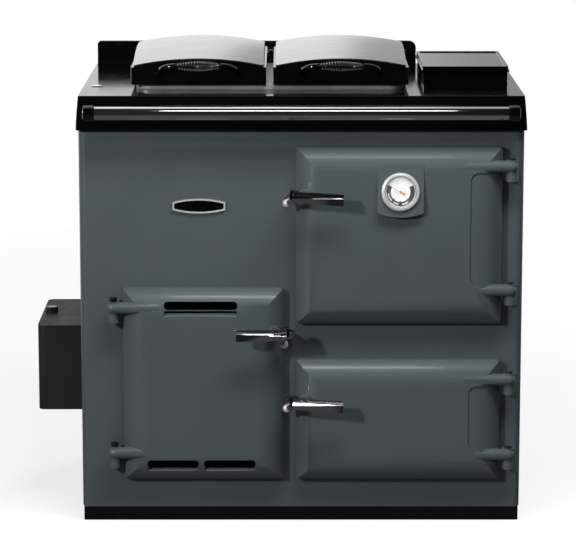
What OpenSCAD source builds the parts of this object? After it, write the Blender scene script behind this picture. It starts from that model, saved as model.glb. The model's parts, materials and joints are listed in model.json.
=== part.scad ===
// Oil range cooker: two ovens, a burner compartment and a lidded hotplate.
// X is to the right, Y to the back and Z up, in millimetres.
// The origin is the centre of the underside of the plinth.

/* [Body] */
// Thickness of the cast front plate
plate_t = 8; // [6:0.5:9]
// Thickness of the folded sheet panels
sheet_t = 2; // [1.5:0.25:2.5]
// Radius of the upright front corners
corner_r = 15; // [12:1:18]
// Height of the plinth
plinth_h = 30; // [24:1:40]
// Step in from the body to the plinth
plinth_step = 2.5; // [1:0.5:4]
// Gap between the plinth and the lower oven door
lower_gap = 64; // [56:1:74]
// Gap between the two oven doors
middle_gap = 77.5; // [70:0.5:90]
// Gap between the main oven door and the fascia
upper_gap = 32.5; // [26:0.5:40]
// Gap between the burner door and the oven doors
doors_gap = 26.5; // [18:0.5:40]

/* [Top plate] */
// Height of the fascia round the top plate
fascia_h = 71; // [64:1:78]
// Overhang of the fascia's lower lip beyond the front plate
lip_over = 12; // [10:0.5:16]
// Overhang of the fascia's lower lip at each side
side_over = 4.5; // [4:0.5:8]
// Outward flare of the fascia from top to bottom
flare = 6; // [3:0.5:8]
// Thickness of the top plate
top_t = 8; // [7:0.5:10]
// Height of the upstand at the back
upstand_h = 52; // [44:1:60]
// Thickness of the upstand
upstand_t = 10; // [8:0.5:12]

/* [Hotplate and lids] */
// Height of the hotplate's face above the top plate
hotplate_up = 11; // [8:0.5:14]
// Width of each lid
lid_w = 282; // [272:1:292]
// Depth of each lid
lid_d = 426; // [416:1:440]
// Distance from the fascia's lower lip back to the lids
lid_front = 102; // [92:1:116]
// Distance from the back of the lids to the back of the body
lid_back_gap = 72; // [66:1:84]
// Gap between the right-hand lid and the flue cover
lid_side_gap = 31.5; // [26:0.5:40]
// Height of a lid's rim
lid_rim_h = 36.5; // [32:0.5:40]
// Gap between the two lids
lid_gap = 15; // [12:0.5:22]
// Crown radius of the polished cover across its width
crown_across = 667; // [600:1:760]
// Crown radius of the polished cover from front to back
crown_along = 963; // [880:1:1080]
// Height of the crown's middle above the rim
crown_h = 41; // [39:0.5:44]
// Thickness of the polished cover
cover_t = 2; // [1.5:0.25:2.5]

/* [Coil grips] */
// Length of the wound part of a lid grip
coil_len = 94; // [84:1:100]
// Turns of wire in a grip
coil_turns = 15; // [12:1:16]
// Radius of a grip at its middle
coil_mid_r = 13; // [11:0.5:14]
// Radius of a grip at its ends
coil_end_r = 7.5; // [7:0.25:8.5]
// Radius of the grip's wire
wire_r = 1.8; // [1.5:0.1:2]
// Standoff of a grip in front of its lid
grip_off = 30; // [28:1:36]

/* [Handrail] */
// Radius of the rail
rail_r = 14; // [12:0.5:15]
// Length of the rail between its brackets
rail_len = 844; // [800:2:860]
// Standoff of the rail's centre from the fascia
rail_off = 38; // [34:1:46]

/* [Doors] */
// Width of both oven doors
oven_door_w = 425; // [400:1:450]
// Height of the main oven door
main_door_h = 370.5; // [350:0.5:390]
// Height of the lower oven door
lower_door_h = 256.5; // [240:0.5:270]
// Width of the burner door
burner_door_w = 333.5; // [320:0.5:350]
// Height of the burner door
burner_door_h = 407.5; // [392:0.5:420]
// Gap between the plinth and the burner door
burner_gap = 65; // [56:1:74]
// Height of a door's flat front above its back
door_rise = 41; // [38:0.5:46]
// Width of the convex bevel round a door
bevel_w = 52; // [46:1:56]
// Fall of the bevel from the flat to the edge
bevel_drop = 27; // [22:0.5:28]
// Wall of a door casting
door_wall = 7; // [5:0.5:8]
// Height of the dark opening of an air slot
slot_h = 17; // [14:0.5:18]

/* [Hinges and latches] */
// Distance from the body's right side to the oven hinge line
oven_hinge_inset = 27.5; // [26:0.5:34]
// Distance from the body's left side to the burner hinge line
burner_hinge_inset = 70.5; // [64:0.5:78]
// Radius of a hinge pin
pin_r = 5; // [4:0.5:6]
// Radius of a hinge arm, half its height
arm_r = 13; // [11:0.5:13]
// Height of a fixed hinge knuckle
bracket_h = 18; // [14:1:24]
// Length of a latch lever from its pivot to its free end
lever_len = 78; // [70:1:84]
// Radius of a latch lever at its free end
lever_r = 12; // [10:0.5:12.5]
// Space for fingers between a lever and its door
finger_gap = 34; // [28:1:42]

/* [Ovens] */
// Space between the ovens and the back panel
oven_back_gap = 103; // [90:1:130]
// Space between the combustion chamber and the back panel
chamber_back_gap = 142; // [120:1:160]
// Wall of the ovens and the combustion chamber
oven_wall = 5; // [4:0.5:6]
// Radius of the wires in the oven shelves
shelf_wire_r = 3; // [2.5:0.25:3.5]

/* [Thermometer and badge] */
// Radius of the thermometer's rim
dial_rim_r = 39.5; // [36:0.5:42]
// Radius of the dial's face
dial_r = 33; // [30:0.5:34]
// Width of the bare name plate
badge_w = 109; // [100:1:120]
// Height of the bare name plate
badge_h = 31; // [28:1:34]

/* [Burner and flue] */
// Radius of the vaporising pot
pot_r = 105; // [95:1:112]
// Bore radius of the flue spigot
flue_r = 50; // [44:1:50]
// Radius of the water pipes
pipe_r = 14; // [11:0.5:15]
// Radius of the oil pipe
oil_pipe_r = 5; // [4:0.5:6]
// Width of the oil control box out from the body
control_w = 102; // [90:1:110]
// Depth of the oil control box
control_d = 290; // [260:2:310]
// Height of the oil control box
control_h = 184; // [170:2:200]
// Radius of the control knob
knob_r = 13.5; // [11:0.5:15]

/* [Hidden] */
$fn = 64;

// Sides that stand for a true circle where its radius is large
arc_sides = 720;
// Sides that stand for a true circle where there are many small holes
hole_sides = 16;
// One overrun serves every cut
over = 1;
// Air left between seated pieces
seat = 0.3;
// Radial running clearance of every turning pin
run = 0.05;

enamel = "darkslategray";
black = "black";
bright = "silver";
iron = "dimgray";
steel = "gainsboro";

// The doors and lids, with the gaps round them, set the size of the body
hinge_gap = 18.5;
flue_inset = 23;
flue_box_w = 177;
flue_cover_over = 4.5;
plug_room = 62;
doors_w = oven_hinge_inset + oven_door_w + doors_gap + burner_door_w + burner_hinge_inset + 2*hinge_gap;
lids_w = flue_inset + flue_box_w + flue_cover_over + lid_side_gap + 2*lid_w + lid_gap + plug_room;
body_w = max(doors_w, lids_w);
body_h = lower_gap + lower_door_h + middle_gap + main_door_h + upper_gap;
body_d = lid_front + lid_d + lid_back_gap - lip_over;
lower_door_z = plinth_h + lower_gap;
main_door_z = lower_door_z + lower_door_h + middle_gap;
burner_door_z = plinth_h + burner_gap;

// Places that follow from the driving sizes
half_w = body_w/2;
front_y = -body_d/2;
back_y = body_d/2;
fascia_z = plinth_h + body_h;
top_z = fascia_z + fascia_h;
lip_y = front_y - lip_over;
top_back_over = 6;
top_back_y = back_y + top_back_over;
bearing_w = 16;

// Line of the oil control: the middle of its box, the pot and the pipe between
control_back = 295;
control_y = lip_y + control_back;
control_z = 208;
feed_up = 30;
feed_z = control_z + feed_up;
pipe_play = 1;

// Folded edges of the sheet panels and the return of the front plate
fold = 18;
return_d = 32;
seam = 0.5;

// Rounded rectangle about its centre
module round_rect(w, h, r) {
    square([w - 2*r, h], center = true);
    square([w, h - 2*r], center = true);
    for (x = [-1, 1], y = [-1, 1])
        translate([x*(w/2 - r), y*(h/2 - r)]) circle(r);
}

// An outline drawn as X and Z, carried from y0 back to y1
module upright(y0, y1) {
    translate([0, y1, 0]) rotate([90, 0, 0]) linear_extrude(y1 - y0) children();
}

// An outline drawn as Y and Z, carried from x0 to x1
module sideways(x0, x1) {
    translate([x0, 0, 0]) rotate([90, 0, 90]) linear_extrude(x1 - x0) children();
}

// A box between two opposite corners
module between(a, b) {
    translate(a) cube(b - a);
}

// A round bar from one point to another
module bar(a, b, r) {
    v = b - a;
    translate(a)
        rotate([0, acos(v.z/norm(v)), atan2(v.y, v.x)])
            cylinder(r = r, h = norm(v));
}

// Plinth: a tray with a flange turned in at its top, its underside on the floor
plinth_wall = 4;
plinth_flange = 40;
module plinth() {
    hx = half_w - plinth_step;
    hy = body_d/2 - plinth_step - sheet_t;
    color(black) difference() {
        between([-hx, -hy, 0], [hx, hy, plinth_h]);
        between([-hx + plinth_wall, -hy + plinth_wall, plinth_wall],
                [hx - plinth_wall, hy - plinth_wall, plinth_h - plinth_wall]);
        between([-hx + plinth_flange, -hy + plinth_flange, plinth_wall],
                [hx - plinth_flange, hy - plinth_flange, plinth_h + over]);
    }
}

// Base tray: the sheet floor of the body, with a raised edge
tray_up = 12;
module base_tray() {
    hx = half_w - fold - sheet_t;
    y0 = front_y + plate_t + seat;
    y1 = back_y - sheet_t - seat;
    color(iron) difference() {
        between([-hx, y0, plinth_h], [hx, y1, plinth_h + tray_up]);
        between([-hx + sheet_t, y0 + sheet_t, plinth_h + sheet_t],
                [hx - sheet_t, y1 - sheet_t, plinth_h + tray_up + over]);
    }
}

// Lines and mouths of the three doors
door_back = 1;
oven_axis_x = half_w - oven_hinge_inset;
burner_axis_x = -half_w + burner_hinge_inset;
oven_door_x = oven_axis_x - hinge_gap - oven_door_w/2;
burner_door_x = burner_axis_x + hinge_gap + burner_door_w/2;
main_mid_z = main_door_z + main_door_h/2;
lower_mid_z = lower_door_z + lower_door_h/2;
burner_mid_z = burner_door_z + burner_door_h/2;

// Land of the door that closes on the plate round each mouth
oven_side_land = 42.5;
burner_side_land = 24.75;
end_land = 20.25;
oven_mouth_w = oven_door_w - 2*oven_side_land;
main_mouth_h = main_door_h - 2*end_land;
lower_mouth_h = lower_door_h - 2*end_land;
burner_mouth_w = burner_door_w - 2*burner_side_land;
burner_mouth_h = burner_door_h - 2*end_land;

// Front plate: a casting with rounded corners, side returns and three mouths
module front_plate() {
    color(enamel) difference() {
        translate([0, 0, plinth_h]) linear_extrude(body_h) difference() {
            intersection() {
                translate([0, front_y + corner_r]) round_rect_low(body_w, corner_r);
                translate([-half_w, front_y]) square([body_w, return_d]);
            }
            translate([-half_w + plate_t, front_y + plate_t]) square([body_w - 2*plate_t, return_d]);
        }
        upright(front_y - over, front_y + plate_t + over) {
            translate([oven_door_x, main_mid_z]) square([oven_mouth_w, main_mouth_h], center = true);
            translate([oven_door_x, lower_mid_z]) square([oven_mouth_w, lower_mouth_h], center = true);
            translate([burner_door_x, burner_mid_z])
                square([burner_mouth_w, burner_mouth_h], center = true);
        }
    }
}

// Plan of the body's front: two rounded corners on a straight return
module round_rect_low(w, r) {
    translate([-w/2, 0]) square([w, return_d]);
    translate([-w/2 + r, -r]) square([w - 2*r, 2*r]);
    for (s = [-1, 1]) translate([s*(w/2 - r), 0]) circle(r);
}

// Side panel: a sheet with all four edges folded in
module side_panel() {
    y0 = front_y + return_d + seam;
    y1 = back_y - sheet_t;
    difference() {
        between([half_w - fold, y0, plinth_h], [half_w, y1, fascia_z]);
        between([half_w - fold - over, y0 + sheet_t, plinth_h + sheet_t],
                [half_w - sheet_t, y1 - sheet_t, fascia_z - sheet_t]);
    }
}

module right_side_panel() {
    color(enamel) side_panel();
}

// The left panel is the same, with a hole for the oil pipe
module left_side_panel() {
    color(enamel) difference() {
        mirror([1, 0, 0]) side_panel();
        translate([-half_w - over, control_y, feed_z]) rotate([0, 90, 0])
            cylinder(r = oil_pipe_r + pipe_play, h = sheet_t + 2*over);
    }
}

// Back panel, with the flue and water pipe holes
module back_panel() {
    hx = half_w - seat;
    color(iron) difference() {
        between([-hx, back_y - sheet_t, plinth_h], [hx, back_y, top_z - top_t]);
        upright(back_y - sheet_t - over, back_y + over) {
            translate([flue_x, flue_z]) circle(flue_r + flue_wall + pipe_play);
            for (p = pipe_places) translate(p) circle(pipe_r + pipe_play);
        }
        // The corners step round the top plate's side bearings
        for (s = [-1, 1])
            translate([s*half_w, back_y, (fascia_z - seat + top_z)/2])
                cube([2*(bearing_w + seat), 2*(sheet_t + over), top_z - fascia_z + seat], center = true);
    }
}

// Outer form of the fascia and the top plate: flared in front and at the sides
top_corner_r = 9;
plate_clear = 1;
module top_form() {
    lip_w = half_w + side_over;
    intersection() {
        // Flared sides seen from the front
        upright(lip_y, top_back_y) polygon([
            [-lip_w, fascia_z], [lip_w, fascia_z],
            [lip_w - flare, top_z], [-lip_w + flare, top_z]
        ]);
        // Flared front seen from the side
        sideways(-lip_w, lip_w) polygon([
            [lip_y, fascia_z], [top_back_y, fascia_z],
            [top_back_y, top_z], [lip_y + flare, top_z]
        ]);
        // Rounded corners seen from above
        translate([0, (lip_y + top_back_y)/2, fascia_z]) linear_extrude(fascia_h)
            round_rect(2*lip_w, top_back_y - lip_y, top_corner_r);
    }
}

// Fascia: a casting on three sides that bears on the body and carries the top plate
module fascia() {
    color(black) difference() {
        top_form();
        between([-half_w + bearing_w, front_y + plate_t - seat, fascia_z - over],
                [half_w - bearing_w, top_back_y + over, top_z + over]);
        // Level seat of the top plate
        between([-body_w, lip_y - over, top_z - top_t], [body_w, top_back_y + over, top_z + over]);
    }
}

// Top plate: a flat casting with openings for the hotplate, the flue and a plug
module top_plate() {
    color(black) difference() {
        top_form();
        // Level underside
        between([-body_w, lip_y - over, fascia_z - over], [body_w, top_back_y + over, top_z - top_t]);
        // Opening under the hotplate
        translate([hotplate_x, hotplate_y, fascia_z]) linear_extrude(fascia_h + over)
            round_rect(hotplate_w - 2*hotplate_ledge + 2*plate_clear,
                       hotplate_d - 2*hotplate_ledge + 2*plate_clear,
                       hotplate_r - hotplate_ledge + plate_clear);
        // Opening round the flue chamber
        between([flue_box_x0 - plate_clear, flue_box_y0 - plate_clear, fascia_z],
                [flue_box_x1 + plate_clear, flue_box_y1 + plate_clear, top_z + over]);
        // Socket of the plug
        translate([plug_x, plug_y, top_z - top_t - over])
            cylinder(r = plug_r - plug_lip, h = top_t + 2*over);
    }
}

// Plug in the top plate's spare hole, near the left front
plug_r = 12.5;
plug_lip = 2.5;
plug_cap = 1.5;
plug_inset = 30;
plug_back = 175;
plug_x = -half_w + plug_inset;
plug_y = lip_y + plug_back;
module top_plug() {
    color(bright) translate([plug_x, plug_y, top_z]) {
        cylinder(r = plug_r, h = plug_cap);
        translate([0, 0, -top_t]) cylinder(r = plug_r - plug_lip - seat, h = top_t);
    }
}

// Upstand: coved at its foot, rounded at the right-hand end
upstand_left = 4;
upstand_right = 199;
cove_r = 12;
upstand_r = 16;
upstand_y = back_y - upstand_t + top_back_over;
module upstand() {
    x0 = -half_w + upstand_left;
    x1 = half_w - upstand_right;
    color(black) intersection() {
        sideways(x0, x1) {
            translate([upstand_y, top_z]) square([upstand_t, upstand_h]);
            translate([upstand_y - cove_r, top_z]) difference() {
                square(cove_r);
                translate([0, cove_r]) circle(cove_r);
            }
        }
        upright(upstand_y - cove_r - over, top_back_y + over) {
            translate([x0, top_z]) square([x1 - x0, upstand_h - upstand_r]);
            translate([x0 + upstand_r/2, top_z]) square([x1 - x0 - upstand_r*3/2, upstand_h]);
            translate([x0 + upstand_r/2, top_z + upstand_h - upstand_r/2]) circle(upstand_r/2);
            translate([x0, top_z]) square([upstand_r/2, upstand_h - upstand_r/2]);
            translate([x1 - upstand_r, top_z + upstand_h - upstand_r]) circle(upstand_r);
        }
    }
}

// Place of the flue chamber, which the lids keep clear of
flue_front = 200;
flue_box_d = 300;
flue_rise = 27;
flue_box_t = 5;
flue_box_x1 = half_w - flue_inset;
flue_box_x0 = flue_box_x1 - flue_box_w;
flue_box_y0 = lip_y + flue_front;
flue_box_y1 = flue_box_y0 + flue_box_d;

// Hotplate: a ground slab on a narrower rebate
hotplate_t = 20;
hotplate_ledge = 10;
hotplate_r = 30;
lid_over_side = 10;
lid_over_front = 8;
lid_over_back = 12;
lid_mid_x = flue_box_x0 - flue_cover_over - lid_side_gap - lid_w - lid_gap/2;
hotplate_w = 2*lid_w + lid_gap - 2*lid_over_side;
hotplate_d = lid_d - lid_over_front - lid_over_back;
hotplate_x = lid_mid_x;
hotplate_y = lip_y + lid_front + lid_over_front + hotplate_d/2;
module hotplate() {
    color(iron) {
        translate([hotplate_x, hotplate_y, top_z]) linear_extrude(hotplate_up)
            round_rect(hotplate_w, hotplate_d, hotplate_r);
        translate([hotplate_x, hotplate_y, top_z - hotplate_t]) linear_extrude(hotplate_t)
            round_rect(hotplate_w - 2*hotplate_ledge, hotplate_d - 2*hotplate_ledge,
                       hotplate_r - hotplate_ledge);
    }
}

// An oven: a cast box, open at the front, with pairs of shelf runners
oven_d = body_d - plate_t - oven_wall - oven_back_gap - sheet_t;
runner_w = 9;
runner_t = 7;
runner_front = 20;
module oven(x, z, w, h, runners) {
    y0 = front_y + plate_t;
    y1 = y0 + oven_d;
    color(iron) {
        difference() {
            between([x - w/2 - oven_wall, y0, z - h/2 - oven_wall],
                    [x + w/2 + oven_wall, y1 + oven_wall, z + h/2 + oven_wall]);
            between([x - w/2, y0 - over, z - h/2], [x + w/2, y1, z + h/2]);
        }
        for (s = [-1, 1], k = runners)
            translate([x + s*(w/2 - runner_w/2), (y0 + y1 + runner_front)/2, z - h/2 + k*h])
                cube([runner_w, oven_d - runner_front, runner_t], center = true);
    }
}

// Shelf runners as shares of the oven's height
main_runner_shares = [0.2, 0.5, 0.78];
lower_runner_shares = [0.3];
main_shelf_share = 0.5;
lower_shelf_share = 0.3;
module main_oven() {
    oven(oven_door_x, main_mid_z, oven_mouth_w, main_mouth_h, main_runner_shares);
}
module lower_oven() {
    oven(oven_door_x, lower_mid_z, oven_mouth_w, lower_mouth_h, lower_runner_shares);
}

// A wire shelf that rests on a pair of runners
shelf_side_play = 1.5;
shelf_inset = 24;
shelf_bars = 9;
module shelf(x, z, w) {
    hx = w/2 - shelf_side_play - shelf_wire_r;
    y0 = front_y + plate_t + shelf_inset;
    y1 = front_y + plate_t + oven_d - shelf_inset;
    for (s = [-1, 1]) bar([x + s*hx, y0, z], [x + s*hx, y1, z], shelf_wire_r);
    for (y = [y0, (y0 + y1)/2, y1]) {
        bar([x - hx, y, z], [x + hx, y, z], shelf_wire_r);
        for (s = [-1, 1]) translate([x + s*hx, y, z]) sphere(shelf_wire_r);
    }
    for (k = [1:shelf_bars])
        translate([x - hx + 2*hx*k/(shelf_bars + 1), 0, z + shelf_wire_r])
            bar([0, y0, 0], [0, y1, 0], shelf_wire_r);
}
module oven_shelves() {
    lift = runner_t/2 + shelf_wire_r;
    color(bright) {
        shelf(oven_door_x, main_mid_z + (main_shelf_share - 1/2)*main_mouth_h + lift, oven_mouth_w);
        shelf(oven_door_x, lower_mid_z + (lower_shelf_share - 1/2)*lower_mouth_h + lift, oven_mouth_w);
    }
}

// Combustion chamber: an open-topped box behind the burner door
chamber_d = body_d - plate_t - chamber_back_gap - sheet_t;
chamber_drop = 5;
chamber_y1 = front_y + plate_t + chamber_d;
chamber_z0 = burner_mid_z - burner_mouth_h/2 - chamber_drop - oven_wall;
chamber_z1 = top_z - hotplate_t - 2*seat;
chamber_x0 = burner_door_x - burner_mouth_w/2 - oven_wall;
chamber_x1 = burner_door_x + burner_mouth_w/2 + oven_wall;
gas_way_h = 90;
module combustion_chamber() {
    y0 = front_y + plate_t;
    color(iron) difference() {
        between([chamber_x0, y0, chamber_z0], [chamber_x1, chamber_y1, chamber_z1]);
        between([chamber_x0 + oven_wall, y0 + oven_wall, chamber_z0 + oven_wall],
                [chamber_x1 - oven_wall, chamber_y1 - oven_wall, chamber_z1 + over]);
        // Mouth behind the door
        translate([0, 0, burner_mid_z]) between([chamber_x0 + oven_wall, y0 - over, -burner_mouth_h/2],
            [chamber_x1 - oven_wall, y0 + 2*oven_wall, burner_mouth_h/2]);
        // The hot gases leave to the right, over the ovens
        between([chamber_x1 - 2*oven_wall, y0 + 2*oven_wall, chamber_z1 - gas_way_h],
                [chamber_x1 + over, chamber_y1 - 2*oven_wall, chamber_z1 + over]);
        // Pipe holes
        translate([chamber_x0 - over, control_y, pot_feed_z]) rotate([0, 90, 0])
            cylinder(r = oil_pipe_r + pipe_play, h = oven_wall + 2*over);
        upright(chamber_y1 - oven_wall - over, chamber_y1 + over)
            for (p = pipe_places) translate(p) circle(pipe_r + pipe_play);
    }
}

// Boiler: a water jacket against the back of the chamber
boiler_w = 262;
boiler_d = 60;
boiler_h = 250;
boiler_top = 120;
boiler_wall = 5;
boiler_z1 = top_z - boiler_top;
boiler_z0 = boiler_z1 - boiler_h;
pipe_side = 80;
pipe_edge = 45;
pipe_places = [
    [burner_door_x - pipe_side, boiler_z1 - pipe_edge],
    [burner_door_x + pipe_side, boiler_z0 + pipe_edge]
];
boiler_y1 = chamber_y1 - oven_wall;
module boiler() {
    color(iron) difference() {
        translate([burner_door_x, boiler_y1 - boiler_d/2, (boiler_z0 + boiler_z1)/2]) difference() {
            cube([boiler_w, boiler_d, boiler_h], center = true);
            cube([boiler_w - 2*boiler_wall, boiler_d - 2*boiler_wall, boiler_h - 2*boiler_wall],
                 center = true);
        }
        upright(boiler_y1 - boiler_d/2, boiler_y1 + over)
            for (p = pipe_places) translate(p) circle(pipe_r - pipe_wall);
    }
}

// Flow and return pipes, each with a collar that bears on the back panel
pipe_wall = 2;
pipe_out = 46;
pipe_collar_w = 5;
pipe_collar_t = 6;
module water_pipes() {
    color("peru") for (p = pipe_places) {
        upright(boiler_y1, back_y + pipe_out) translate(p) ring(pipe_r, pipe_r - pipe_wall);
        upright(back_y, back_y + pipe_collar_t) translate(p) ring(pipe_r + pipe_collar_w, pipe_r - pipe_wall);
    }
}

// A flat ring
module ring(outer, inner) {
    difference() {
        circle(outer);
        circle(inner);
    }
}

// Vaporising pot: a rimmed cup with a drip ring, on the chamber floor
pot_h = 90;
pot_wall = 4;
pot_rim = 8;
pot_z = chamber_z0 + oven_wall;
pot_feed_up = 30;
pot_feed_z = pot_z + pot_feed_up;
module burner_pot() {
    color(iron) translate([burner_door_x, control_y, pot_z]) difference() {
        rotate_extrude() polygon([
            [0, 0], [pot_r, 0], [pot_r, pot_h - pot_rim], [pot_r + pot_rim, pot_h - pot_rim],
            [pot_r + pot_rim, pot_h], [pot_r - pot_wall, pot_h], [pot_r - pot_wall, pot_wall],
            [0, pot_wall]
        ]);
        // Oil enters through the wall
        translate([-pot_r - over, 0, pot_feed_z - pot_z]) rotate([0, 90, 0])
            cylinder(r = oil_pipe_r + pipe_play/2, h = pot_wall + 2*over);
    }
}

// Burner shells: two perforated sleeves under one cap ring
shell_h = 150;
shell_t = 2;
shell_out_r = 80;
shell_in_r = 62;
shell_hole_r = 5;
shell_rows = 3;
shell_holes = 12;
module burner_shells() {
    color(steel) translate([burner_door_x, control_y, pot_z + pot_wall]) difference() {
        rotate_extrude() polygon([
            [shell_in_r - shell_t, 0], [shell_in_r, 0], [shell_in_r, shell_h],
            [shell_out_r - shell_t, shell_h], [shell_out_r - shell_t, 0], [shell_out_r, 0],
            [shell_out_r, shell_h + shell_t], [shell_in_r - shell_t, shell_h + shell_t]
        ]);
        for (k = [1:shell_rows], a = [0:shell_holes - 1])
            translate([0, 0, shell_h*(k + 1)/(shell_rows + 2)]) rotate([0, 0, a*360/shell_holes])
                translate([shell_in_r - shell_t - over, 0, 0]) rotate([0, 90, 0])
                    cylinder(r = shell_hole_r, h = shell_out_r - shell_in_r + shell_t + 2*over,
                             $fn = hole_sides);
    }
}

// Oil feed pipe: out of the valve, down beside the chamber and into the pot
feed_bend = 20;
feed_inset = 46;
feed_down_x = -half_w + feed_inset;
module oil_feed_pipe() {
    x0 = valve_x1;
    x1 = burner_door_x - pot_r + pot_wall;
    color("peru") {
        bar([x0, control_y, feed_z], [feed_down_x - feed_bend, control_y, feed_z], oil_pipe_r);
        translate([feed_down_x - feed_bend, control_y, feed_z - feed_bend]) rotate([90, 0, 0])
            rotate_extrude(angle = 90) translate([feed_bend, 0]) circle(oil_pipe_r);
        bar([feed_down_x, control_y, pot_feed_z + feed_bend],
            [feed_down_x, control_y, feed_z - feed_bend], oil_pipe_r);
        translate([feed_down_x + feed_bend, control_y, pot_feed_z + feed_bend]) rotate([90, 0, 0])
            rotate([0, 0, 180]) rotate_extrude(angle = 90) translate([feed_bend, 0]) circle(oil_pipe_r);
        bar([feed_down_x + feed_bend, control_y, pot_feed_z], [x1, control_y, pot_feed_z], oil_pipe_r);
    }
}

// Flue chamber: a cast box over the main oven, open at its top and to the hotplate
flue_z0 = main_mid_z + main_mouth_h/2 + oven_wall;
flue_x = (flue_box_x0 + flue_box_x1)/2;
flue_wall = 2;
flue_z = flue_z0 + flue_r + flue_wall + seat;
flue_neck_z = top_z - top_t - flue_box_t;
module flue_chamber() {
    color(black) difference() {
        between([flue_box_x0, flue_box_y0, flue_z0], [flue_box_x1, flue_box_y1, flue_neck_z]);
        between([flue_box_x0 + flue_box_t, flue_box_y0 + flue_box_t, flue_z0 + flue_box_t],
                [flue_box_x1 - flue_box_t, flue_box_y1 - flue_box_t, flue_neck_z + over]);
        // Gas way in from the hotplate
        between([flue_box_x0 - over, flue_box_y0 + 2*flue_box_t, flue_z0 + flue_box_t],
                [flue_box_x0 + 2*flue_box_t, flue_box_y1 - 2*flue_box_t, flue_neck_z + over]);
        // Way out to the spigot
        upright(flue_box_y1 - flue_box_t - over, flue_box_y1 + over)
            translate([flue_x, flue_z]) circle(flue_r + flue_wall/2);
    }
}

// Flue collar: the chamber's neck, a square casting that comes up through the top plate
module flue_collar() {
    color(black) difference() {
        between([flue_box_x0, flue_box_y0, flue_neck_z], [flue_box_x1, flue_box_y1, top_z + flue_rise]);
        between([flue_box_x0 + flue_box_t, flue_box_y0 + flue_box_t, flue_neck_z - over],
                [flue_box_x1 - flue_box_t, flue_box_y1 - flue_box_t, top_z + flue_rise + over]);
    }
}

// Flue cover: a lipped plate with a panel sunk inside its rim
flue_cover_t = 12;
flue_cover_r = 10;
flue_rim = 9;
flue_panel_drop = 2;
flue_lip = 4;
module flue_cover() {
    w = flue_box_w + 2*flue_cover_over;
    d = flue_box_d + 2*flue_cover_over;
    z = top_z + flue_rise;
    color(black) translate([flue_x, (flue_box_y0 + flue_box_y1)/2, z]) difference() {
        union() {
            linear_extrude(flue_lip) round_rect(w, d, flue_cover_r);
            linear_extrude(flue_cover_t)
                round_rect(w - flue_cover_over, d - flue_cover_over, flue_cover_r - flue_cover_over/2);
        }
        translate([0, 0, flue_cover_t - flue_panel_drop]) linear_extrude(flue_panel_drop + over)
            round_rect(w - 2*flue_rim, d - 2*flue_rim, flue_cover_r/2);
    }
}

// Flue spigot: a plain tube with a collar on the flue chamber
spigot_out = 50;
collar_w = 9;
module flue_spigot() {
    color(black) {
        upright(flue_box_y1, back_y + spigot_out)
            translate([flue_x, flue_z]) ring(flue_r + flue_wall, flue_r);
        upright(flue_box_y1, flue_box_y1 + flue_wall) intersection() {
            translate([flue_x, flue_z]) ring(flue_r + collar_w, flue_r);
            translate([flue_box_x0, flue_z0]) square([flue_box_w, top_z - top_t - flue_z0 - seat]);
        }
    }
}

// Lids: both hang on one rod behind the hotplate
lid_y0 = lip_y + lid_front;
lid_y1 = lid_y0 + lid_d;
lid_z0 = top_z + hotplate_up + seat;
lid_z1 = lid_z0 + lid_rim_h;
left_lid_x = lid_mid_x - lid_gap/2 - lid_w/2;
right_lid_x = lid_mid_x + lid_gap/2 + lid_w/2;
lid_wall = 8;
lid_floor = 4;
lid_corner_r = 6;
lid_back_r = 20;
cover_inset = 5;
lid_hinge_back = 20;
lid_hinge_drop = 19;
lid_hinge_y = lid_y1 + lid_hinge_back;
lid_hinge_z = lid_z1 - lid_hinge_drop;
rod_r = 5;
lug_r = 10;
lug_w = 22;
lug_side = 95;

// Plan of a lid, drawn in from its edge: tight corners in front, wide ones behind
module lid_plan(inset) {
    w = lid_w - 2*inset;
    y0 = lid_y0 + inset;
    y1 = lid_y1 - inset;
    r = lid_corner_r;
    b = lid_back_r - inset;
    translate([-w/2, y0 + r]) square([w, y1 - y0 - r - b]);
    translate([-w/2 + r, y0]) square([w - 2*r, y1 - y0 - b]);
    translate([-w/2 + b, y1 - 2*b]) square([w - 2*b, 2*b]);
    for (s = [-1, 1]) {
        translate([s*(w/2 - r), y0 + r]) circle(r);
        translate([s*(w/2 - b), y1 - b]) circle(b);
    }
}

// Crowned block: round across its width and round from front to back
crown_mid_y = (lid_y0 + lid_y1)/2;
module crown(inset) {
    depth = crown_h + lid_wall;
    span = lid_d/2 + over;
    turn = 2*asin((lid_w/2 + over)/(crown_across - depth));
    translate([0, crown_mid_y, lid_z1 + crown_h - crown_across]) rotate([90, 0, 0])
        rotate([0, 0, 90 - turn/2]) rotate_extrude(angle = turn, $fn = arc_sides) intersection() {
            translate([crown_across - crown_along, 0]) circle(crown_along - inset, $fn = arc_sides);
            translate([crown_across - depth, -span]) square([depth + over, 2*span]);
        }
}

// Lid frame: a black iron tray, its front wall raised under the cover
module lid_frame(x) {
    color(black) translate([x, 0, 0]) difference() {
        union() {
            translate([0, 0, lid_z0]) linear_extrude(lid_rim_h) lid_plan(0);
            intersection() {
                crown(cover_t + seat);
                between([-lid_w/2 + cover_inset + cover_t + seat, lid_y0 + cover_inset, lid_z1 - over],
                        [lid_w/2 - cover_inset - cover_t - seat, lid_y0 + lid_wall, lid_z1 + crown_h]);
            }
            for (s = [-1, 1]) translate([s*lug_side, lid_hinge_y, lid_hinge_z]) {
                rotate([0, 90, 0]) cylinder(r = lug_r, h = lug_w, center = true);
                between([-lug_w/2, -lid_hinge_back - over, -lug_r], [lug_w/2, 0, lug_r]);
            }
        }
        translate([0, 0, lid_z0 + lid_floor]) linear_extrude(lid_rim_h) lid_plan(lid_wall);
        translate([0, lid_hinge_y, lid_hinge_z]) rotate([0, 90, 0])
            cylinder(r = rod_r + run, h = lid_w, center = true);
    }
}

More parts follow.
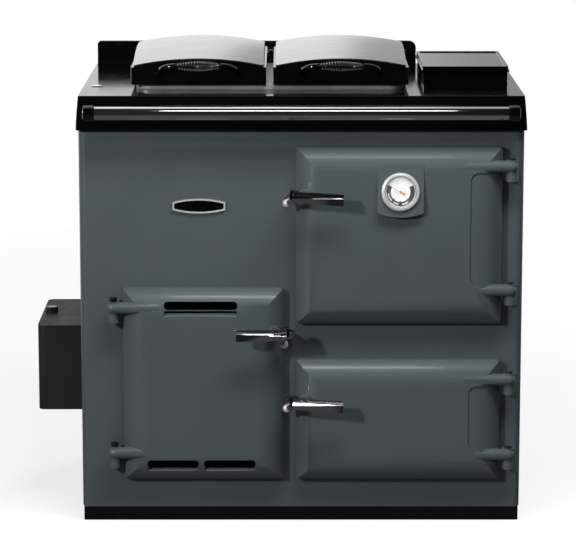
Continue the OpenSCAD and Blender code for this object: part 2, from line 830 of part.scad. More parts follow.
// Insulation slab inside a lid
module lid_insulation(x) {
    color("tan") translate([x, 0, lid_z0 + lid_floor]) linear_extrude(lid_rim_h - lid_floor)
        lid_plan(lid_wall + seat);
}

// Polished cover: a thin crowned shell, open at the front
module lid_cover(x) {
    color(bright) translate([x, 0, 0]) difference() {
        intersection() {
            translate([0, 0, lid_z1]) linear_extrude(crown_h + over) lid_plan(cover_inset);
            crown(0);
        }
        intersection() {
            union() {
                translate([0, 0, lid_z1 - over]) linear_extrude(crown_h + 2*over)
                    lid_plan(cover_inset + cover_t);
                between([-lid_w/2 + cover_inset + cover_t, lid_y0, lid_z1 - over],
                        [lid_w/2 - cover_inset - cover_t, lid_y0 + lid_back_r, lid_z1 + crown_h]);
            }
            crown(cover_t);
        }
    }
}

// Grip bar: a rod between two quarter bends on the lid's front
grip_rise = 5;
bend_r = 6.5;
grip_foot_drop = 17;
bar_r = 3.2;
grip_z = lid_z1 + grip_rise;
grip_y = lid_y0 - grip_off;
foot_r = 10;
foot_t = 3;
module lid_grip_bar(x) {
    tilt = atan(grip_foot_drop/grip_off);
    run_r = norm([grip_off, grip_foot_drop]);
    end_x = coil_len/2 + seat;
    color(black) translate([x, grip_y, grip_z]) difference() {
        union() {
            rotate([0, 90, 0]) cylinder(r = bar_r, h = 2*end_x + 2*over, center = true);
            for (s = [-1, 1]) mirror([s > 0 ? 0 : 1, 0, 0]) {
                translate([end_x, 0, 0]) rotate([-tilt, 0, 0]) translate([0, run_r, 0])
                    rotate([0, 0, -90]) rotate_extrude(angle = 90) translate([run_r, 0]) circle(bend_r);
                translate([end_x + run_r, grip_off, -grip_foot_drop]) rotate([90, 0, 0])
                    cylinder(r = foot_r, h = foot_t);
            }
        }
        between([-lid_w, grip_off, -lid_rim_h], [lid_w, grip_off + 2*bend_r, lid_rim_h]);
    }
}

// Wound wire: one unbroken tube along a barrel-shaped helix, with straight ends
wire_sides = 6;
wire_rings = 8;
end_run = 2*wire_r;
coil_span = coil_len - 2*end_run;
function coil_radius(t) = coil_end_r - wire_r + (coil_mid_r - coil_end_r)*sin(180*t);
function coil_point(t) = let (a = 360*coil_turns*t, r = coil_radius(t))
    [-coil_span/2 + coil_span*t, r*cos(a), r*sin(a)];
coil_steps = coil_turns*wire_rings;
coil_path = concat(
    [coil_point(0) - [end_run, 0, 0]],
    [for (i = [0:coil_steps]) coil_point(i/coil_steps)],
    [coil_point(1) + [end_run, 0, 0]]
);

// Unit direction of a path at one of its points
function unit(v) = v/norm(v);
function heading(path, i) = i == 0 || i == len(path) - 1 ? [1, 0, 0] :
    unit(path[i + 1] - path[i - 1]);

// A closed tube of triangles round a path
module wound_tube(path, r, sides) {
    rings = len(path);
    points = [for (i = [0:rings - 1])
        let (h = heading(path, i), out = unit([0, path[i].y, path[i].z]),
             side = unit(cross(h, out)), up = cross(side, h))
        for (k = [0:sides - 1]) path[i] + r*(cos(360*k/sides)*up + sin(360*k/sides)*side)];
    skin = [for (i = [0:rings - 2], k = [0:sides - 1])
        let (a = i*sides + k, b = i*sides + (k + 1) % sides)
        for (f = [[a, a + sides, b], [b, a + sides, b + sides]]) f];
    caps = concat(
        [for (k = [1:sides - 2]) [0, k, k + 1]],
        [for (k = [1:sides - 2]) [(rings - 1)*sides, (rings - 1)*sides + k + 1, (rings - 1)*sides + k]]
    );
    polyhedron(points = points, faces = concat(skin, caps));
}

// Least gap between points of the wire that are over half a turn apart
coil_gap = min([for (i = [0:len(coil_path) - 1], j = [i + wire_rings/2 + 1:len(coil_path) - 1])
    norm(coil_path[i] - coil_path[j])]) - 2*wire_r;
echo(least_gap_between_turns = coil_gap);

module lid_coil(x) {
    color(bright) translate([x, grip_y, grip_z]) wound_tube(coil_path, wire_r, wire_sides);
}

module left_lid_frame() { lid_frame(left_lid_x); }
module right_lid_frame() { lid_frame(right_lid_x); }
module left_lid_insulation() { lid_insulation(left_lid_x); }
module right_lid_insulation() { lid_insulation(right_lid_x); }
module left_lid_cover() { lid_cover(left_lid_x); }
module right_lid_cover() { lid_cover(right_lid_x); }
module left_lid_grip_bar() { lid_grip_bar(left_lid_x); }
module right_lid_grip_bar() { lid_grip_bar(right_lid_x); }
module left_lid_coil() { lid_coil(left_lid_x); }
module right_lid_coil() { lid_coil(right_lid_x); }

// Hinge rod and the three pedestals that carry it
pedestal_w = 11;
pedestal_foot = 30;
pedestal_foot_t = 4;
pedestal_r = 9;
pedestal_outset = 7;
pedestal_xs = [
    lid_mid_x - lid_gap/2 - lid_w - pedestal_outset,
    lid_mid_x,
    lid_mid_x + lid_gap/2 + lid_w + pedestal_outset
];
module lid_hinge_rod() {
    color(steel) translate([lid_mid_x, lid_hinge_y, lid_hinge_z]) rotate([0, 90, 0])
        cylinder(r = rod_r, h = 2*lid_w + lid_gap + 2*pedestal_outset + pedestal_w, center = true);
}
module lid_hinge_brackets() {
    color(black) for (x = pedestal_xs) difference() {
        translate([x, lid_hinge_y, 0]) {
            translate([0, 0, lid_hinge_z]) rotate([0, 90, 0])
                cylinder(r = pedestal_r, h = pedestal_w, center = true);
            between([-pedestal_w/2, -pedestal_r, top_z], [pedestal_w/2, pedestal_r, lid_hinge_z]);
            between([-pedestal_w/2, -pedestal_foot/2, top_z],
                    [pedestal_w/2, pedestal_foot/2, top_z + pedestal_foot_t]);
        }
        translate([x, lid_hinge_y, lid_hinge_z]) rotate([0, 90, 0])
            cylinder(r = rod_r, h = pedestal_w + 2*over, center = true);
    }
}

// Handrail and its end brackets, which bear on the flared fascia
rail_drop = 31;
rail_z = top_z - rail_drop;
rail_y = lip_y + flare*rail_drop/fascia_h - rail_off;
rail_bracket_w = 24;
rail_bracket_h = 40;
rail_bracket_r = 16;
module handrail() {
    color(bright) translate([0, rail_y, rail_z]) rotate([0, 90, 0])
        cylinder(r = rail_r, h = rail_len, center = true);
}
module handrail_brackets() {
    z0 = rail_z - rail_bracket_h/2;
    z1 = rail_z + rail_bracket_h/2;
    face0 = lip_y + flare - flare*(top_z - z0)/fascia_h;
    face1 = lip_y + flare - flare*(top_z - z1)/fascia_h;
    color(black) for (s = [-1, 1]) mirror([s > 0 ? 0 : 1, 0, 0])
        sideways(rail_len/2, rail_len/2 + rail_bracket_w) {
            translate([rail_y, rail_z]) circle(rail_bracket_r);
            polygon([[rail_y, z0 + rail_bracket_h/2 - rail_bracket_r], [face0, z0], [face1, z1],
                     [rail_y, z1 - rail_bracket_h/2 + rail_bracket_r]]);
        }
}

// Section of a door: flat front, a convex bevel at both ends, drawn in by wall
bevel_r = (bevel_w*bevel_w + bevel_drop*bevel_drop)/(2*bevel_drop);
module door_section(w, wall) {
    flat = w/2 - bevel_w;
    translate([-flat, 0]) square([2*flat, door_rise - wall]);
    for (s = [-1, 1]) mirror([s > 0 ? 0 : 1, 0]) intersection() {
        translate([flat, door_rise - bevel_r]) circle(bevel_r - wall);
        translate([flat - over, 0]) square([bevel_w - wall + over, door_rise]);
    }
}

// Cushion-shaped block with mitred corners, its back at y = 0
door_corner_r = 8;
module cushion(w, h, wall) {
    intersection() {
        translate([0, 0, -h/2]) linear_extrude(h) mirror([0, 1]) door_section(w, wall);
        sideways(-w/2, w/2) rotate(90) door_section(h, wall);
        upright(-door_rise - over, over) round_rect(w, h, door_corner_r);
    }
}

// Sizes shared by the doors and their hinges
axis_rise = 26;
knuckle_r = 12.5;
arm_lip = 0.6;
knuckle_gap = 0.5;
arm_top = 39;
main_arm_low = 73;
lower_arm_low = 57.5;
burner_arm_low = 60;
recess_inset = 8;
recess_t = 7;
arm_run = 22;
arm_sunk = 2.2;
arm_proud = 5.2;
step_drop = 2.5;
step_edge = 15;
step_r = 18;
lever_inset = 19;
boss_r = 11;
boss_rise = 12;
boss_web = 2;
stem_r = 6;

// A door casting, hinged at its right, with its back plane at y = 0
module door(w, h, arm_low, lever_z, mouth_w, mouth_h, pocket_inset, stepped) {
    axis_x = w/2 + hinge_gap;
    arm_zs = [h/2 - arm_top, -h/2 + arm_low];
    lever_x = -w/2 + lever_inset;
    step_x0 = w/2 - bevel_w - step_edge;
    difference() {
        union() {
            difference() {
                cushion(w, h, 0);
                if (stepped) step(w, step_x0, arm_zs);
            }
            for (z = arm_zs) translate([0, -axis_rise, z]) {
                bar([w/2 - bevel_w - arm_run, -arm_sunk, 0], [axis_x, -arm_proud, 0], arm_r - arm_lip);
                translate([axis_x, -arm_proud, 0]) sphere(arm_r - arm_lip);
                translate([axis_x, 0, -arm_r]) cylinder(r = knuckle_r, h = 2*arm_r);
            }
            // Boss of the latch lever
            translate([lever_x, 0, lever_z]) rotate([90, 0, 0])
                cylinder(r = boss_r, h = door_rise + boss_rise);
        }
        // Shallow recess for the seal and the liner
        upright(-recess_t, over) round_rect(w - 2*recess_inset, h - 2*recess_inset, door_corner_r/2);
        // Hollow of the casting
        intersection() {
            cushion(w, h, door_wall);
            upright(-door_rise, 0) difference() {
                square([mouth_w - 2*pocket_inset, mouth_h - 2*pocket_inset], center = true);
                if (stepped) translate([step_x0 - door_wall, -h/2]) square([w, h]);
                translate([lever_x, lever_z]) circle(boss_r + boss_web);
            }
        }
        // Bores of the hinge pins and the lever's stem
        translate([axis_x, -axis_rise, -h/2]) cylinder(r = pin_r + run, h = h);
        translate([lever_x, over, lever_z]) rotate([90, 0, 0])
            cylinder(r = stem_r + run, h = door_rise + boss_rise + 2*over);
    }
}

// Step between the hinge arms: the face and its bevel lie a little lower there
module step(w, x0, arm_zs) {
    z0 = arm_zs[1] + arm_r - over;
    z1 = arm_zs[0] - arm_r + over;
    run = w/2 - x0 + step_r;
    intersection() {
        upright(-door_rise - over, 0) translate([x0 + run/2, (z0 + z1)/2])
            round_rect(run, z1 - z0, step_r);
        translate([0, 0, z0]) linear_extrude(z1 - z0) difference() {
            translate([x0 - over, -door_rise - over]) square([w/2 - x0 + 2*over, door_rise + over]);
            translate([0, step_drop]) mirror([0, 1]) door_section(w, 0);
        }
    }
}

// Puts a door's pieces in place, right-hinged or mirrored
module at_oven_door(z) {
    translate([oven_door_x, front_y - door_back, z]) children();
}
module at_burner_door() {
    translate([burner_door_x, front_y - door_back, burner_mid_z]) mirror([1, 0, 0]) children();
}

// Heights of the levers from each door's middle
main_lever_up = 89;
lower_lever_up = 48;
burner_lever_up = 118;

// Main oven door, with the wedge that carries the thermometer
dial_x = 1.5;
dial_up = 96;
wedge_w = 95;
wedge_h = 106;
wedge_rise = 13;
wedge_foot = 52;
wedge_sag = 9;
wedge_turn = atan(wedge_rise/wedge_h);
case_depth = 22;
wedge_round = 8;

// Puts children on the wedge's sloping face, at the dial's centre, facing out
module on_dial() {
    at_oven_door(main_mid_z) translate([dial_x, -door_rise - dial_seat_rise, dial_up])
        rotate([90 - wedge_turn, 0, 0]) children();
}
dial_seat_rise = wedge_rise*(wedge_h - wedge_foot)/wedge_h;

module main_door() {
    color(enamel) difference() {
        union() {
            at_oven_door(main_mid_z)
                door(oven_door_w, main_door_h, main_arm_low, main_lever_up, oven_mouth_w, main_mouth_h,
                     oven_pocket_inset, true);
            at_oven_door(main_mid_z) translate([dial_x, 0, dial_up]) intersection() {
                sideways(-wedge_w/2, wedge_w/2) polygon([
                    [-door_rise + door_wall, -wedge_foot], [-door_rise - wedge_rise, -wedge_foot],
                    [-door_rise, wedge_h - wedge_foot], [-door_rise + door_wall, wedge_h - wedge_foot]
                ]);
                upright(-door_rise - wedge_rise - over, 0) wedge_outline();
            }
        }
        on_dial() translate([0, 0, -case_depth]) cylinder(r = dial_r, h = case_depth + over);
    }
}

// Outline of the wedge: upright sides and a bowed foot
module wedge_outline() {
    r = (wedge_w*wedge_w/4 + wedge_sag*wedge_sag)/(2*wedge_sag);
    intersection() {
        translate([0, r - wedge_foot]) circle(r, $fn = arc_sides);
        translate([0, wedge_h/2 - wedge_foot]) round_rect(wedge_w, wedge_h + 2*wedge_round, wedge_round);
    }
}

module lower_door() {
    color(enamel) at_oven_door(lower_mid_z)
        door(oven_door_w, lower_door_h, lower_arm_low, lower_lever_up, oven_mouth_w, lower_mouth_h,
             oven_pocket_inset, true);
}

// Burner door, with one air slot above and two below
oven_pocket_inset = 10;
burner_pocket_inset = 1;
top_slot_w = 153;
low_slot_w = 108;
slot_pitch = 118.5;
slot_shift = 4;
top_slot_down = 33;
low_slot_up = 38;
slot_lip_tilt = 42;
slot_lip_h = 9;
slot_places = [
    [0, burner_door_h/2 - top_slot_down, top_slot_w],
    [-slot_pitch/2, -burner_door_h/2 + low_slot_up, low_slot_w],
    [slot_pitch/2, -burner_door_h/2 + low_slot_up, low_slot_w]
];
module burner_door() {
    color(enamel) difference() {
        at_burner_door()
            door(burner_door_w, burner_door_h, burner_arm_low, burner_lever_up, burner_mouth_w,
                 burner_mouth_h, burner_pocket_inset, false);
        at_burner_door() for (p = slot_places) translate([p[0] + slot_shift, 0, p[1]]) {
            upright(-door_rise - over, -recess_t) slot_outline(p[2], slot_h);
            // Sloping ledge under the slot
            translate([0, -door_rise + 2*door_wall, -slot_h/2 + slot_lip_h/2]) rotate([slot_lip_tilt, 0, 0])
                upright(-door_rise, 0) slot_outline(p[2], slot_lip_h);
        }
    }
}

// A slot with round ends
module slot_outline(w, h) {
    square([w - h, h], center = true);
    for (s = [-1, 1]) translate([s*(w - h)/2, 0]) circle(h/2);
}

// Oven door liner: a pressed pan that reaches into the oven's mouth
liner_t = 2.5;
liner_d = 25;
liner_play = 8;
liner_flange = 2.5;
liner_r = 12;
module door_liner(mouth_w, mouth_h) {
    w = mouth_w - 2*liner_play;
    h = mouth_h - 2*liner_play;
    color(steel) {
        upright(-recess_t, -recess_t + liner_t) difference() {
            round_rect(mouth_w + 2*liner_flange, mouth_h + 2*liner_flange, liner_r);
            round_rect(w - 2*liner_t, h - 2*liner_t, liner_r);
        }
        upright(-recess_t, liner_d) difference() {
            round_rect(w, h, liner_r);
            round_rect(w - 2*liner_t, h - 2*liner_t, liner_r - liner_t);
        }
        upright(liner_d, liner_d + liner_t) round_rect(w, h, liner_r);
    }
}
module main_door_liner() { at_oven_door(main_mid_z) door_liner(oven_mouth_w, main_mouth_h); }
module lower_door_liner() { at_oven_door(lower_mid_z) door_liner(oven_mouth_w, lower_mouth_h); }

// Shield inside the burner door: a plate on four spacers, clear of the slots
shield_inset = 12;
shield_end = 36;
shield_rise = 10;
spacer_r = 5;
spacer_in = 30;
module burner_door_shield() {
    w = burner_mouth_w - 2*shield_inset;
    h = burner_mouth_h - 2*shield_end;
    color(steel) at_burner_door() {
        upright(-shield_rise - liner_t, -shield_rise) round_rect(w, h, liner_r);
        for (x = [-1, 1], z = [-1, 1])
            translate([x*(w/2 - spacer_in), -shield_rise - liner_t, z*(h/2 - spacer_in)]) rotate([90, 0, 0])
                cylinder(r = spacer_r, h = door_rise - door_wall - shield_rise - liner_t);
    }
}

// Rope seal round a mouth, squared by the plate that it closes on
seal_w = 8;
seal_play = 3;
module door_seal(mouth_w, mouth_h) {
    r = liner_r;
    color("darkgray") upright(-recess_t, door_back - seat) difference() {
        round_rect(mouth_w + 2*seal_play + 2*seal_w, mouth_h + 2*seal_play + 2*seal_w, r);
        round_rect(mouth_w + 2*seal_play, mouth_h + 2*seal_play, r - seal_w/2);
    }
}
module main_door_seal() { at_oven_door(main_mid_z) door_seal(oven_mouth_w, main_mouth_h); }
module lower_door_seal() { at_oven_door(lower_mid_z) door_seal(oven_mouth_w, lower_mouth_h); }
module burner_door_seal() { at_burner_door() door_seal(burner_mouth_w, burner_mouth_h); }

// Latch lever: a round tapered bar on a stem, with a ball claw at its short end
lever_y = -door_rise - finger_gap - lever_r;
lever_small_r = 10.5;
lever_back = 26;
lever_droop = 3;
lever_chamfer = 1.5;
neck_r = 9;
hub_r = 14;
ball_r = 7;
ball_back = 34;
ball_drop = 13;
ball_y = -door_rise;
claw_r = 5;
module lever(x, z) {
    color(bright) translate([x, 0, z]) {
        translate([0, lever_y, 0]) rotate([0, 90 + lever_droop, 0]) rotate_extrude() polygon([
            [0, -lever_back], [lever_small_r - 2*lever_chamfer, -lever_back],
            [lever_small_r, -lever_back + 2*lever_chamfer], [lever_r, lever_len - lever_chamfer],
            [lever_r - lever_chamfer, lever_len], [0, lever_len]
        ]);
        translate([0, lever_y + lever_small_r, 0]) rotate([90, 0, 0]) cylinder(r = hub_r, h = 2*lever_small_r);
        bar([0, -door_rise - boss_rise - seat, 0], [0, lever_y, 0], neck_r);
        bar([0, -recess_t - door_wall, 0], [0, lever_y, 0], stem_r);
        bar([-lever_back + claw_r, lever_y, 0], [-ball_back, ball_y, -ball_drop], claw_r);
        translate([-ball_back, ball_y, -ball_drop]) sphere(ball_r);
    }
}
module main_door_lever() { at_oven_door(main_mid_z) lever(-oven_door_w/2 + lever_inset, main_lever_up); }
module lower_door_lever() { at_oven_door(lower_mid_z) lever(-oven_door_w/2 + lever_inset, lower_lever_up); }
module burner_door_lever() { at_burner_door() lever(-burner_door_w/2 + lever_inset, burner_lever_up); }

// Catch studs on the front plate, behind the balls
stud_r = 5.5;
stud_gap = 1;
stud_flange_r = 9;
stud_flange_t = 3;
module stud(w, lever_up) {
    reach = -ball_y - ball_r - stud_gap + door_back;
    translate([-w/2 + lever_inset - ball_back, door_back, lever_up - ball_drop]) rotate([90, 0, 0]) {
        cylinder(r = stud_r, h = reach);
        cylinder(r = stud_flange_r, h = stud_flange_t);
    }
}
module catch_studs() {
    color(bright) {
        at_oven_door(main_mid_z) stud(oven_door_w, main_lever_up);
        at_oven_door(lower_mid_z) stud(oven_door_w, lower_lever_up);
        at_burner_door() stud(burner_door_w, burner_lever_up);
    }
}

// Fixed knuckles below each hinge arm, and the pins that stand in them
pin_head_r = 8;
oven_head_h = 1.5;
burner_head_h = 8.5;
module knuckle(axis_x, z) {
    translate([axis_x, -axis_rise, z - arm_r - knuckle_gap - bracket_h]) difference() {
        union() {
            cylinder(r = knuckle_r, h = bracket_h);
            between([-knuckle_r, 0, 0], [knuckle_r, axis_rise + door_back, bracket_h]);
        }
        translate([0, 0, -over]) cylinder(r = pin_r, h = bracket_h + 2*over);
    }
}
module pin(axis_x, z, head_h) {
    translate([axis_x, -axis_rise, z]) {
        translate([0, 0, -arm_r - knuckle_gap - bracket_h])
            cylinder(r = pin_r, h = 2*arm_r + 2*knuckle_gap + bracket_h);
        translate([0, 0, arm_r + knuckle_gap]) cylinder(r = pin_head_r, h = head_h);
    }
}
module hinge_brackets() {
    color(enamel) {
        at_oven_door(main_mid_z) for (z = [main_door_h/2 - arm_top, -main_door_h/2 + main_arm_low])
            knuckle(oven_door_w/2 + hinge_gap, z);
        at_oven_door(lower_mid_z) for (z = [lower_door_h/2 - arm_top, -lower_door_h/2 + lower_arm_low])
            knuckle(oven_door_w/2 + hinge_gap, z);
        at_burner_door() for (z = [burner_door_h/2 - arm_top, -burner_door_h/2 + burner_arm_low])
            knuckle(burner_door_w/2 + hinge_gap, z);
    }
}
module hinge_pins() {
    color(iron) {
        at_oven_door(main_mid_z) for (z = [main_door_h/2 - arm_top, -main_door_h/2 + main_arm_low])
            pin(oven_door_w/2 + hinge_gap, z, oven_head_h);
        at_oven_door(lower_mid_z) for (z = [lower_door_h/2 - arm_top, -lower_door_h/2 + lower_arm_low])
            pin(oven_door_w/2 + hinge_gap, z, oven_head_h);
        at_burner_door() for (z = [burner_door_h/2 - arm_top, -burner_door_h/2 + burner_arm_low])
            pin(burner_door_w/2 + hinge_gap, z, burner_head_h);
    }
}

// Thermometer: a flanged case in the wedge, with face, needle and glass
case_t = 2;
rim_h = 7;
glass_t = 2;
face_t = 1;
face_back = 1;
post_r = 1.5;
hub_cap_r = 4;
needle_t = 1;
needle_long = 24;
needle_tail = 13;
needle_turn = 148;
needle_half = 1;
module dial_case() {
    color(bright) on_dial() difference() {
        union() {
            rotate_extrude() polygon([
                [0, 0], [dial_rim_r, 0], [dial_rim_r, rim_h/2], [dial_rim_r - rim_h/2, rim_h],
                [dial_r - case_t, rim_h], [0, rim_h]
            ]);
            translate([0, 0, -case_depth + over]) cylinder(r = dial_r - seat, h = case_depth);
        }
        translate([0, 0, -case_depth + over + case_t]) cylinder(r = dial_in_r, h = case_depth + rim_h);
    }
}
dial_in_r = dial_r - case_t - seat;
module dial_face() {
    color("white") on_dial() {
        translate([0, 0, -face_back - face_t]) cylinder(r = dial_in_r, h = face_t);
        // Coil housing that holds the face, on the floor of the case
        translate([0, 0, -case_depth + over + case_t])
            cylinder(r = dial_in_r/2, h = case_depth - over - case_t - face_back - face_t);
        // Pivot post
        translate([0, 0, -face_back]) cylinder(r = post_r, h = 2*needle_t);
    }
}
module dial_needle() {
    color("orangered") on_dial() translate([0, 0, -face_back + needle_t/2]) rotate(needle_turn) difference() {
        linear_extrude(needle_t) {
            circle(hub_cap_r);
            polygon([
                [-needle_tail, -3*needle_half], [0, -needle_half], [needle_long, -needle_half/2],
                [needle_long, needle_half/2], [0, needle_half], [-needle_tail, 3*needle_half]
            ]);
        }
        translate([0, 0, -over]) cylinder(r = post_r + run, h = needle_t + 2*over);
    }
}
module dial_glass() {
    color([0.8, 0.9, 1, 0.4]) on_dial() translate([0, 0, rim_h - glass_t - face_t])
        cylinder(r = dial_in_r, h = glass_t);
}

// Bare name plate: bowed long sides, rounded ends, a raised rim
badge_in = 248.5;
badge_z = 672.5;
badge_t = 4.5;
badge_rim = 3;
badge_sink = 1.5;
module badge_outline(inset) {
    w = badge_w - 2*inset;
    h = badge_h - 2*inset;
    end = h*3/4;
    sag = (h - end)/2;
    r = (w*w/4 + sag*sag)/(2*sag);
    intersection() {
        translate([0, h/2 - r]) circle(r, $fn = arc_sides);
        translate([0, r - h/2]) circle(r, $fn = arc_sides);
        round_rect(w, h, end/2);
    }
}
module badge() {
    color(bright) translate([-half_w + badge_in, 0, badge_z]) difference() {
        upright(front_y - badge_t, front_y) badge_outline(0);
        upright(front_y - badge_t - over, front_y - badge_t + badge_sink) badge_outline(badge_rim);
    }
}

// Oil control box on the left side, its valve and its knob
control_sheet = 2;
control_r = 15;
control_y0 = control_y - control_d/2;
knob_in = 19;
knob_h = 12;
knob_chamfer = 2;
knob_x = -half_w - control_w + knob_in;
knob_y = control_y;
spindle_r = 4;
spindle_play = 1.5;
module control_plan(inset) {
    w = control_w - inset;
    d = control_d - 2*inset;
    r = control_r - inset;
    translate([-half_w - w, control_y0 + inset]) {
        translate([r, 0]) square([w - r, d]);
        translate([0, r]) square([w, d - 2*r]);
        for (y = [r, d - r]) translate([r, y]) circle(r);
    }
}
module oil_control_cover() {
    color(black) difference() {
        translate([0, 0, control_z]) linear_extrude(control_h) control_plan(0);
        translate([0, 0, control_z - over]) linear_extrude(control_h + over - control_sheet)
            control_plan(control_sheet);
        translate([knob_x, knob_y, control_z]) cylinder(r = spindle_r + spindle_play, h = control_h + over);
    }
}
valve_w = 60;
valve_d = 130;
valve_h = 90;
valve_up = 10;
valve_lid = 8;
valve_gap = 12;
valve_x0 = -half_w - control_w + control_sheet + seat;
valve_x1 = -half_w;
valve_neck_r = 9;
valve_foot = 3;
inlet_out = 22;
module oil_control_valve() {
    z0 = control_z + valve_up;
    z1 = z0 + valve_h;
    x0 = valve_x0 + valve_gap;
    knob_seat = control_z + control_h + seat;
    color(steel) difference() {
        union() {
            between([x0, knob_y - valve_d/2, z0], [x0 + valve_w, knob_y + valve_d/2, z1]);
            between([x0 - valve_lid/2, knob_y - valve_d/2 - valve_lid/2, z1],
                    [x0 + valve_w + valve_lid/2, knob_y + valve_d/2 + valve_lid/2, z1 + valve_lid]);
            // Bracket that bolts the valve to the side panel
            between([x0 + valve_w - over, knob_y - valve_d/4, z0],
                    [valve_x1, knob_y + valve_d/4, z0 + valve_h/2]);
            between([valve_x1 - valve_foot, knob_y - valve_d/2, z0], [valve_x1, knob_y + valve_d/2, z1]);
            // Tower that the knob's spindle turns in
            translate([knob_x, knob_y, z1])
                cylinder(r = valve_neck_r, h = knob_seat - control_sheet - 2*seat - z1);
            // Oil inlet, facing down
            translate([x0 + valve_w/2, knob_y - valve_d/3, control_z - inlet_out])
                cylinder(r = oil_pipe_r, h = inlet_out + valve_up + over);
        }
        translate([knob_x, knob_y, z1 + valve_lid]) cylinder(r = spindle_r + run, h = knob_seat);
        // Outlet for the feed pipe
        translate([valve_x1 - valve_foot - over, knob_y, feed_z]) rotate([0, 90, 0])
            cylinder(r = oil_pipe_r, h = valve_foot + 2*over);
    }
}
grip_grooves = 12;
groove_r = 1.6;
module control_knob() {
    z = control_z + control_h + seat;
    z1 = control_z + valve_up + valve_h + valve_lid;
    color(black) difference() {
        union() {
            translate([knob_x, knob_y, z]) rotate_extrude() polygon([
                [0, 0], [knob_r, 0], [knob_r, knob_h - knob_chamfer],
                [knob_r - knob_chamfer, knob_h], [0, knob_h]
            ]);
            translate([knob_x, knob_y, z1 + seat]) cylinder(r = spindle_r, h = z - z1);
        }
        translate([knob_x, knob_y, z - over]) for (a = [0:grip_grooves - 1])
            rotate(360*a/grip_grooves) translate([knob_r, 0]) cylinder(r = groove_r, h = knob_h + 2*over);
    }
}

plinth();
base_tray();
front_plate();
left_side_panel();
right_side_panel();
back_panel();
fascia();
top_plate();
upstand();
top_plug();
hotplate();
main_oven();
lower_oven();
oven_shelves();
combustion_chamber();
boiler();
water_pipes();
burner_pot();
burner_shells();
oil_feed_pipe();
flue_chamber();
flue_collar();
flue_cover();
flue_spigot();
lid_hinge_rod();
lid_hinge_brackets();
left_lid_frame();
left_lid_insulation();
left_lid_cover();
left_lid_grip_bar();
left_lid_coil();
right_lid_frame();
right_lid_insulation();
right_lid_cover();
right_lid_grip_bar();
right_lid_coil();
handrail();
handrail_brackets();
hinge_brackets();
hinge_pins();
catch_studs();
main_door();
main_door_liner();
main_door_seal();
main_door_lever();
lower_door();
lower_door_liner();
lower_door_seal();
lower_door_lever();
burner_door();
burner_door_shield();
burner_door_seal();
burner_door_lever();
dial_case();
dial_face();
dial_needle();
dial_glass();
badge();
oil_control_cover();
oil_control_valve();
control_knob();
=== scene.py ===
"""Looks of the oil range cooker: enamel, iron, chrome and the small pieces that the frame leaves out."""

import json
import math

import bmesh
import bpy
from mathutils import Matrix, Vector


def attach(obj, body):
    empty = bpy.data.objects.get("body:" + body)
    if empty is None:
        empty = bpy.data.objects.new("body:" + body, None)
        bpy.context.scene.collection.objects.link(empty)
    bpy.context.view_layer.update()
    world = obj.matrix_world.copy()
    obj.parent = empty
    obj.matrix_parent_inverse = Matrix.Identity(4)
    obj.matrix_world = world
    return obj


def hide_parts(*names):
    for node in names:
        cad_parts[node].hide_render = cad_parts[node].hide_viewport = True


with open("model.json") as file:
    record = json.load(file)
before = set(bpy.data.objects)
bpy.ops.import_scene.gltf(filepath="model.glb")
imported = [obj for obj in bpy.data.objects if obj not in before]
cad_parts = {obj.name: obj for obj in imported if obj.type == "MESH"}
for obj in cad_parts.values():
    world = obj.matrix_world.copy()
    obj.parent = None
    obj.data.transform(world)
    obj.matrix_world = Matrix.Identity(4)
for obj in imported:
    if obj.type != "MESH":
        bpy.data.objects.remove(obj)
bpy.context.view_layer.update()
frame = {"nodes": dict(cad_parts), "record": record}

BODY_OF = {}
for body_name, members in frame["record"]["behaviour"]["bodies"].items():
    for member in members:
        BODY_OF[member] = body_name

MM = 0.001
MERGE, MERGE_FINE = 0.02 * MM, 0.005 * MM


def mm(*values):
    """A point or a size given in millimetres."""
    return Vector(values) * MM


# Bench work


def take(piece):
    """Put every other piece down and pick this one up."""
    if bpy.context.object and bpy.context.object.mode != "OBJECT":
        bpy.ops.object.mode_set(mode="OBJECT")
    bpy.ops.object.select_all(action="DESELECT")
    piece.select_set(True)
    bpy.context.view_layer.objects.active = piece
    return piece


def edit(piece):
    """Open a piece for shaping, with nothing selected."""
    take(piece)
    bpy.ops.object.mode_set(mode="EDIT")
    bpy.ops.mesh.select_mode(type="FACE")
    bpy.ops.mesh.select_all(action="DESELECT")
    return piece


def close(piece):
    """Put a piece back after shaping."""
    bpy.ops.object.mode_set(mode="OBJECT")
    return piece


def pick_edges(piece, test):
    """Select the edges that a test on their two ends lets through."""
    bpy.ops.mesh.select_mode(type="EDGE")
    mesh = bmesh.from_edit_mesh(piece.data)
    for edge in mesh.edges:
        edge.select_set(bool(test(edge.verts[0].co, edge.verts[1].co)))
    mesh.select_flush_mode()
    bmesh.update_edit_mesh(piece.data)


def pick_points(piece, test):
    """Select the points that a test on their place lets through."""
    bpy.ops.mesh.select_mode(type="VERT")
    mesh = bmesh.from_edit_mesh(piece.data)
    for point in mesh.verts:
        point.select_set(bool(test(point.co)))
    mesh.select_flush_mode()
    bmesh.update_edit_mesh(piece.data)


def nudge(piece, test, step):
    """Move the points that a test lets through, in millimetres."""
    pick_points(piece, test)
    bpy.ops.transform.translate(value=mm(*step))


def slice_at(piece, place, normal):
    """Draw an edge right round a piece where a plane crosses it."""
    bpy.ops.mesh.select_all(action="SELECT")
    bpy.ops.mesh.bisect(plane_co=mm(*place), plane_no=normal)


def named(piece, name):
    """Name a piece and its mesh."""
    piece.name = name
    piece.data.name = name
    return piece


def settle(piece):
    """Put the place and turn of a piece into its mesh."""
    take(piece)
    bpy.ops.object.transform_apply(location=True, rotation=True, scale=True)
    return piece


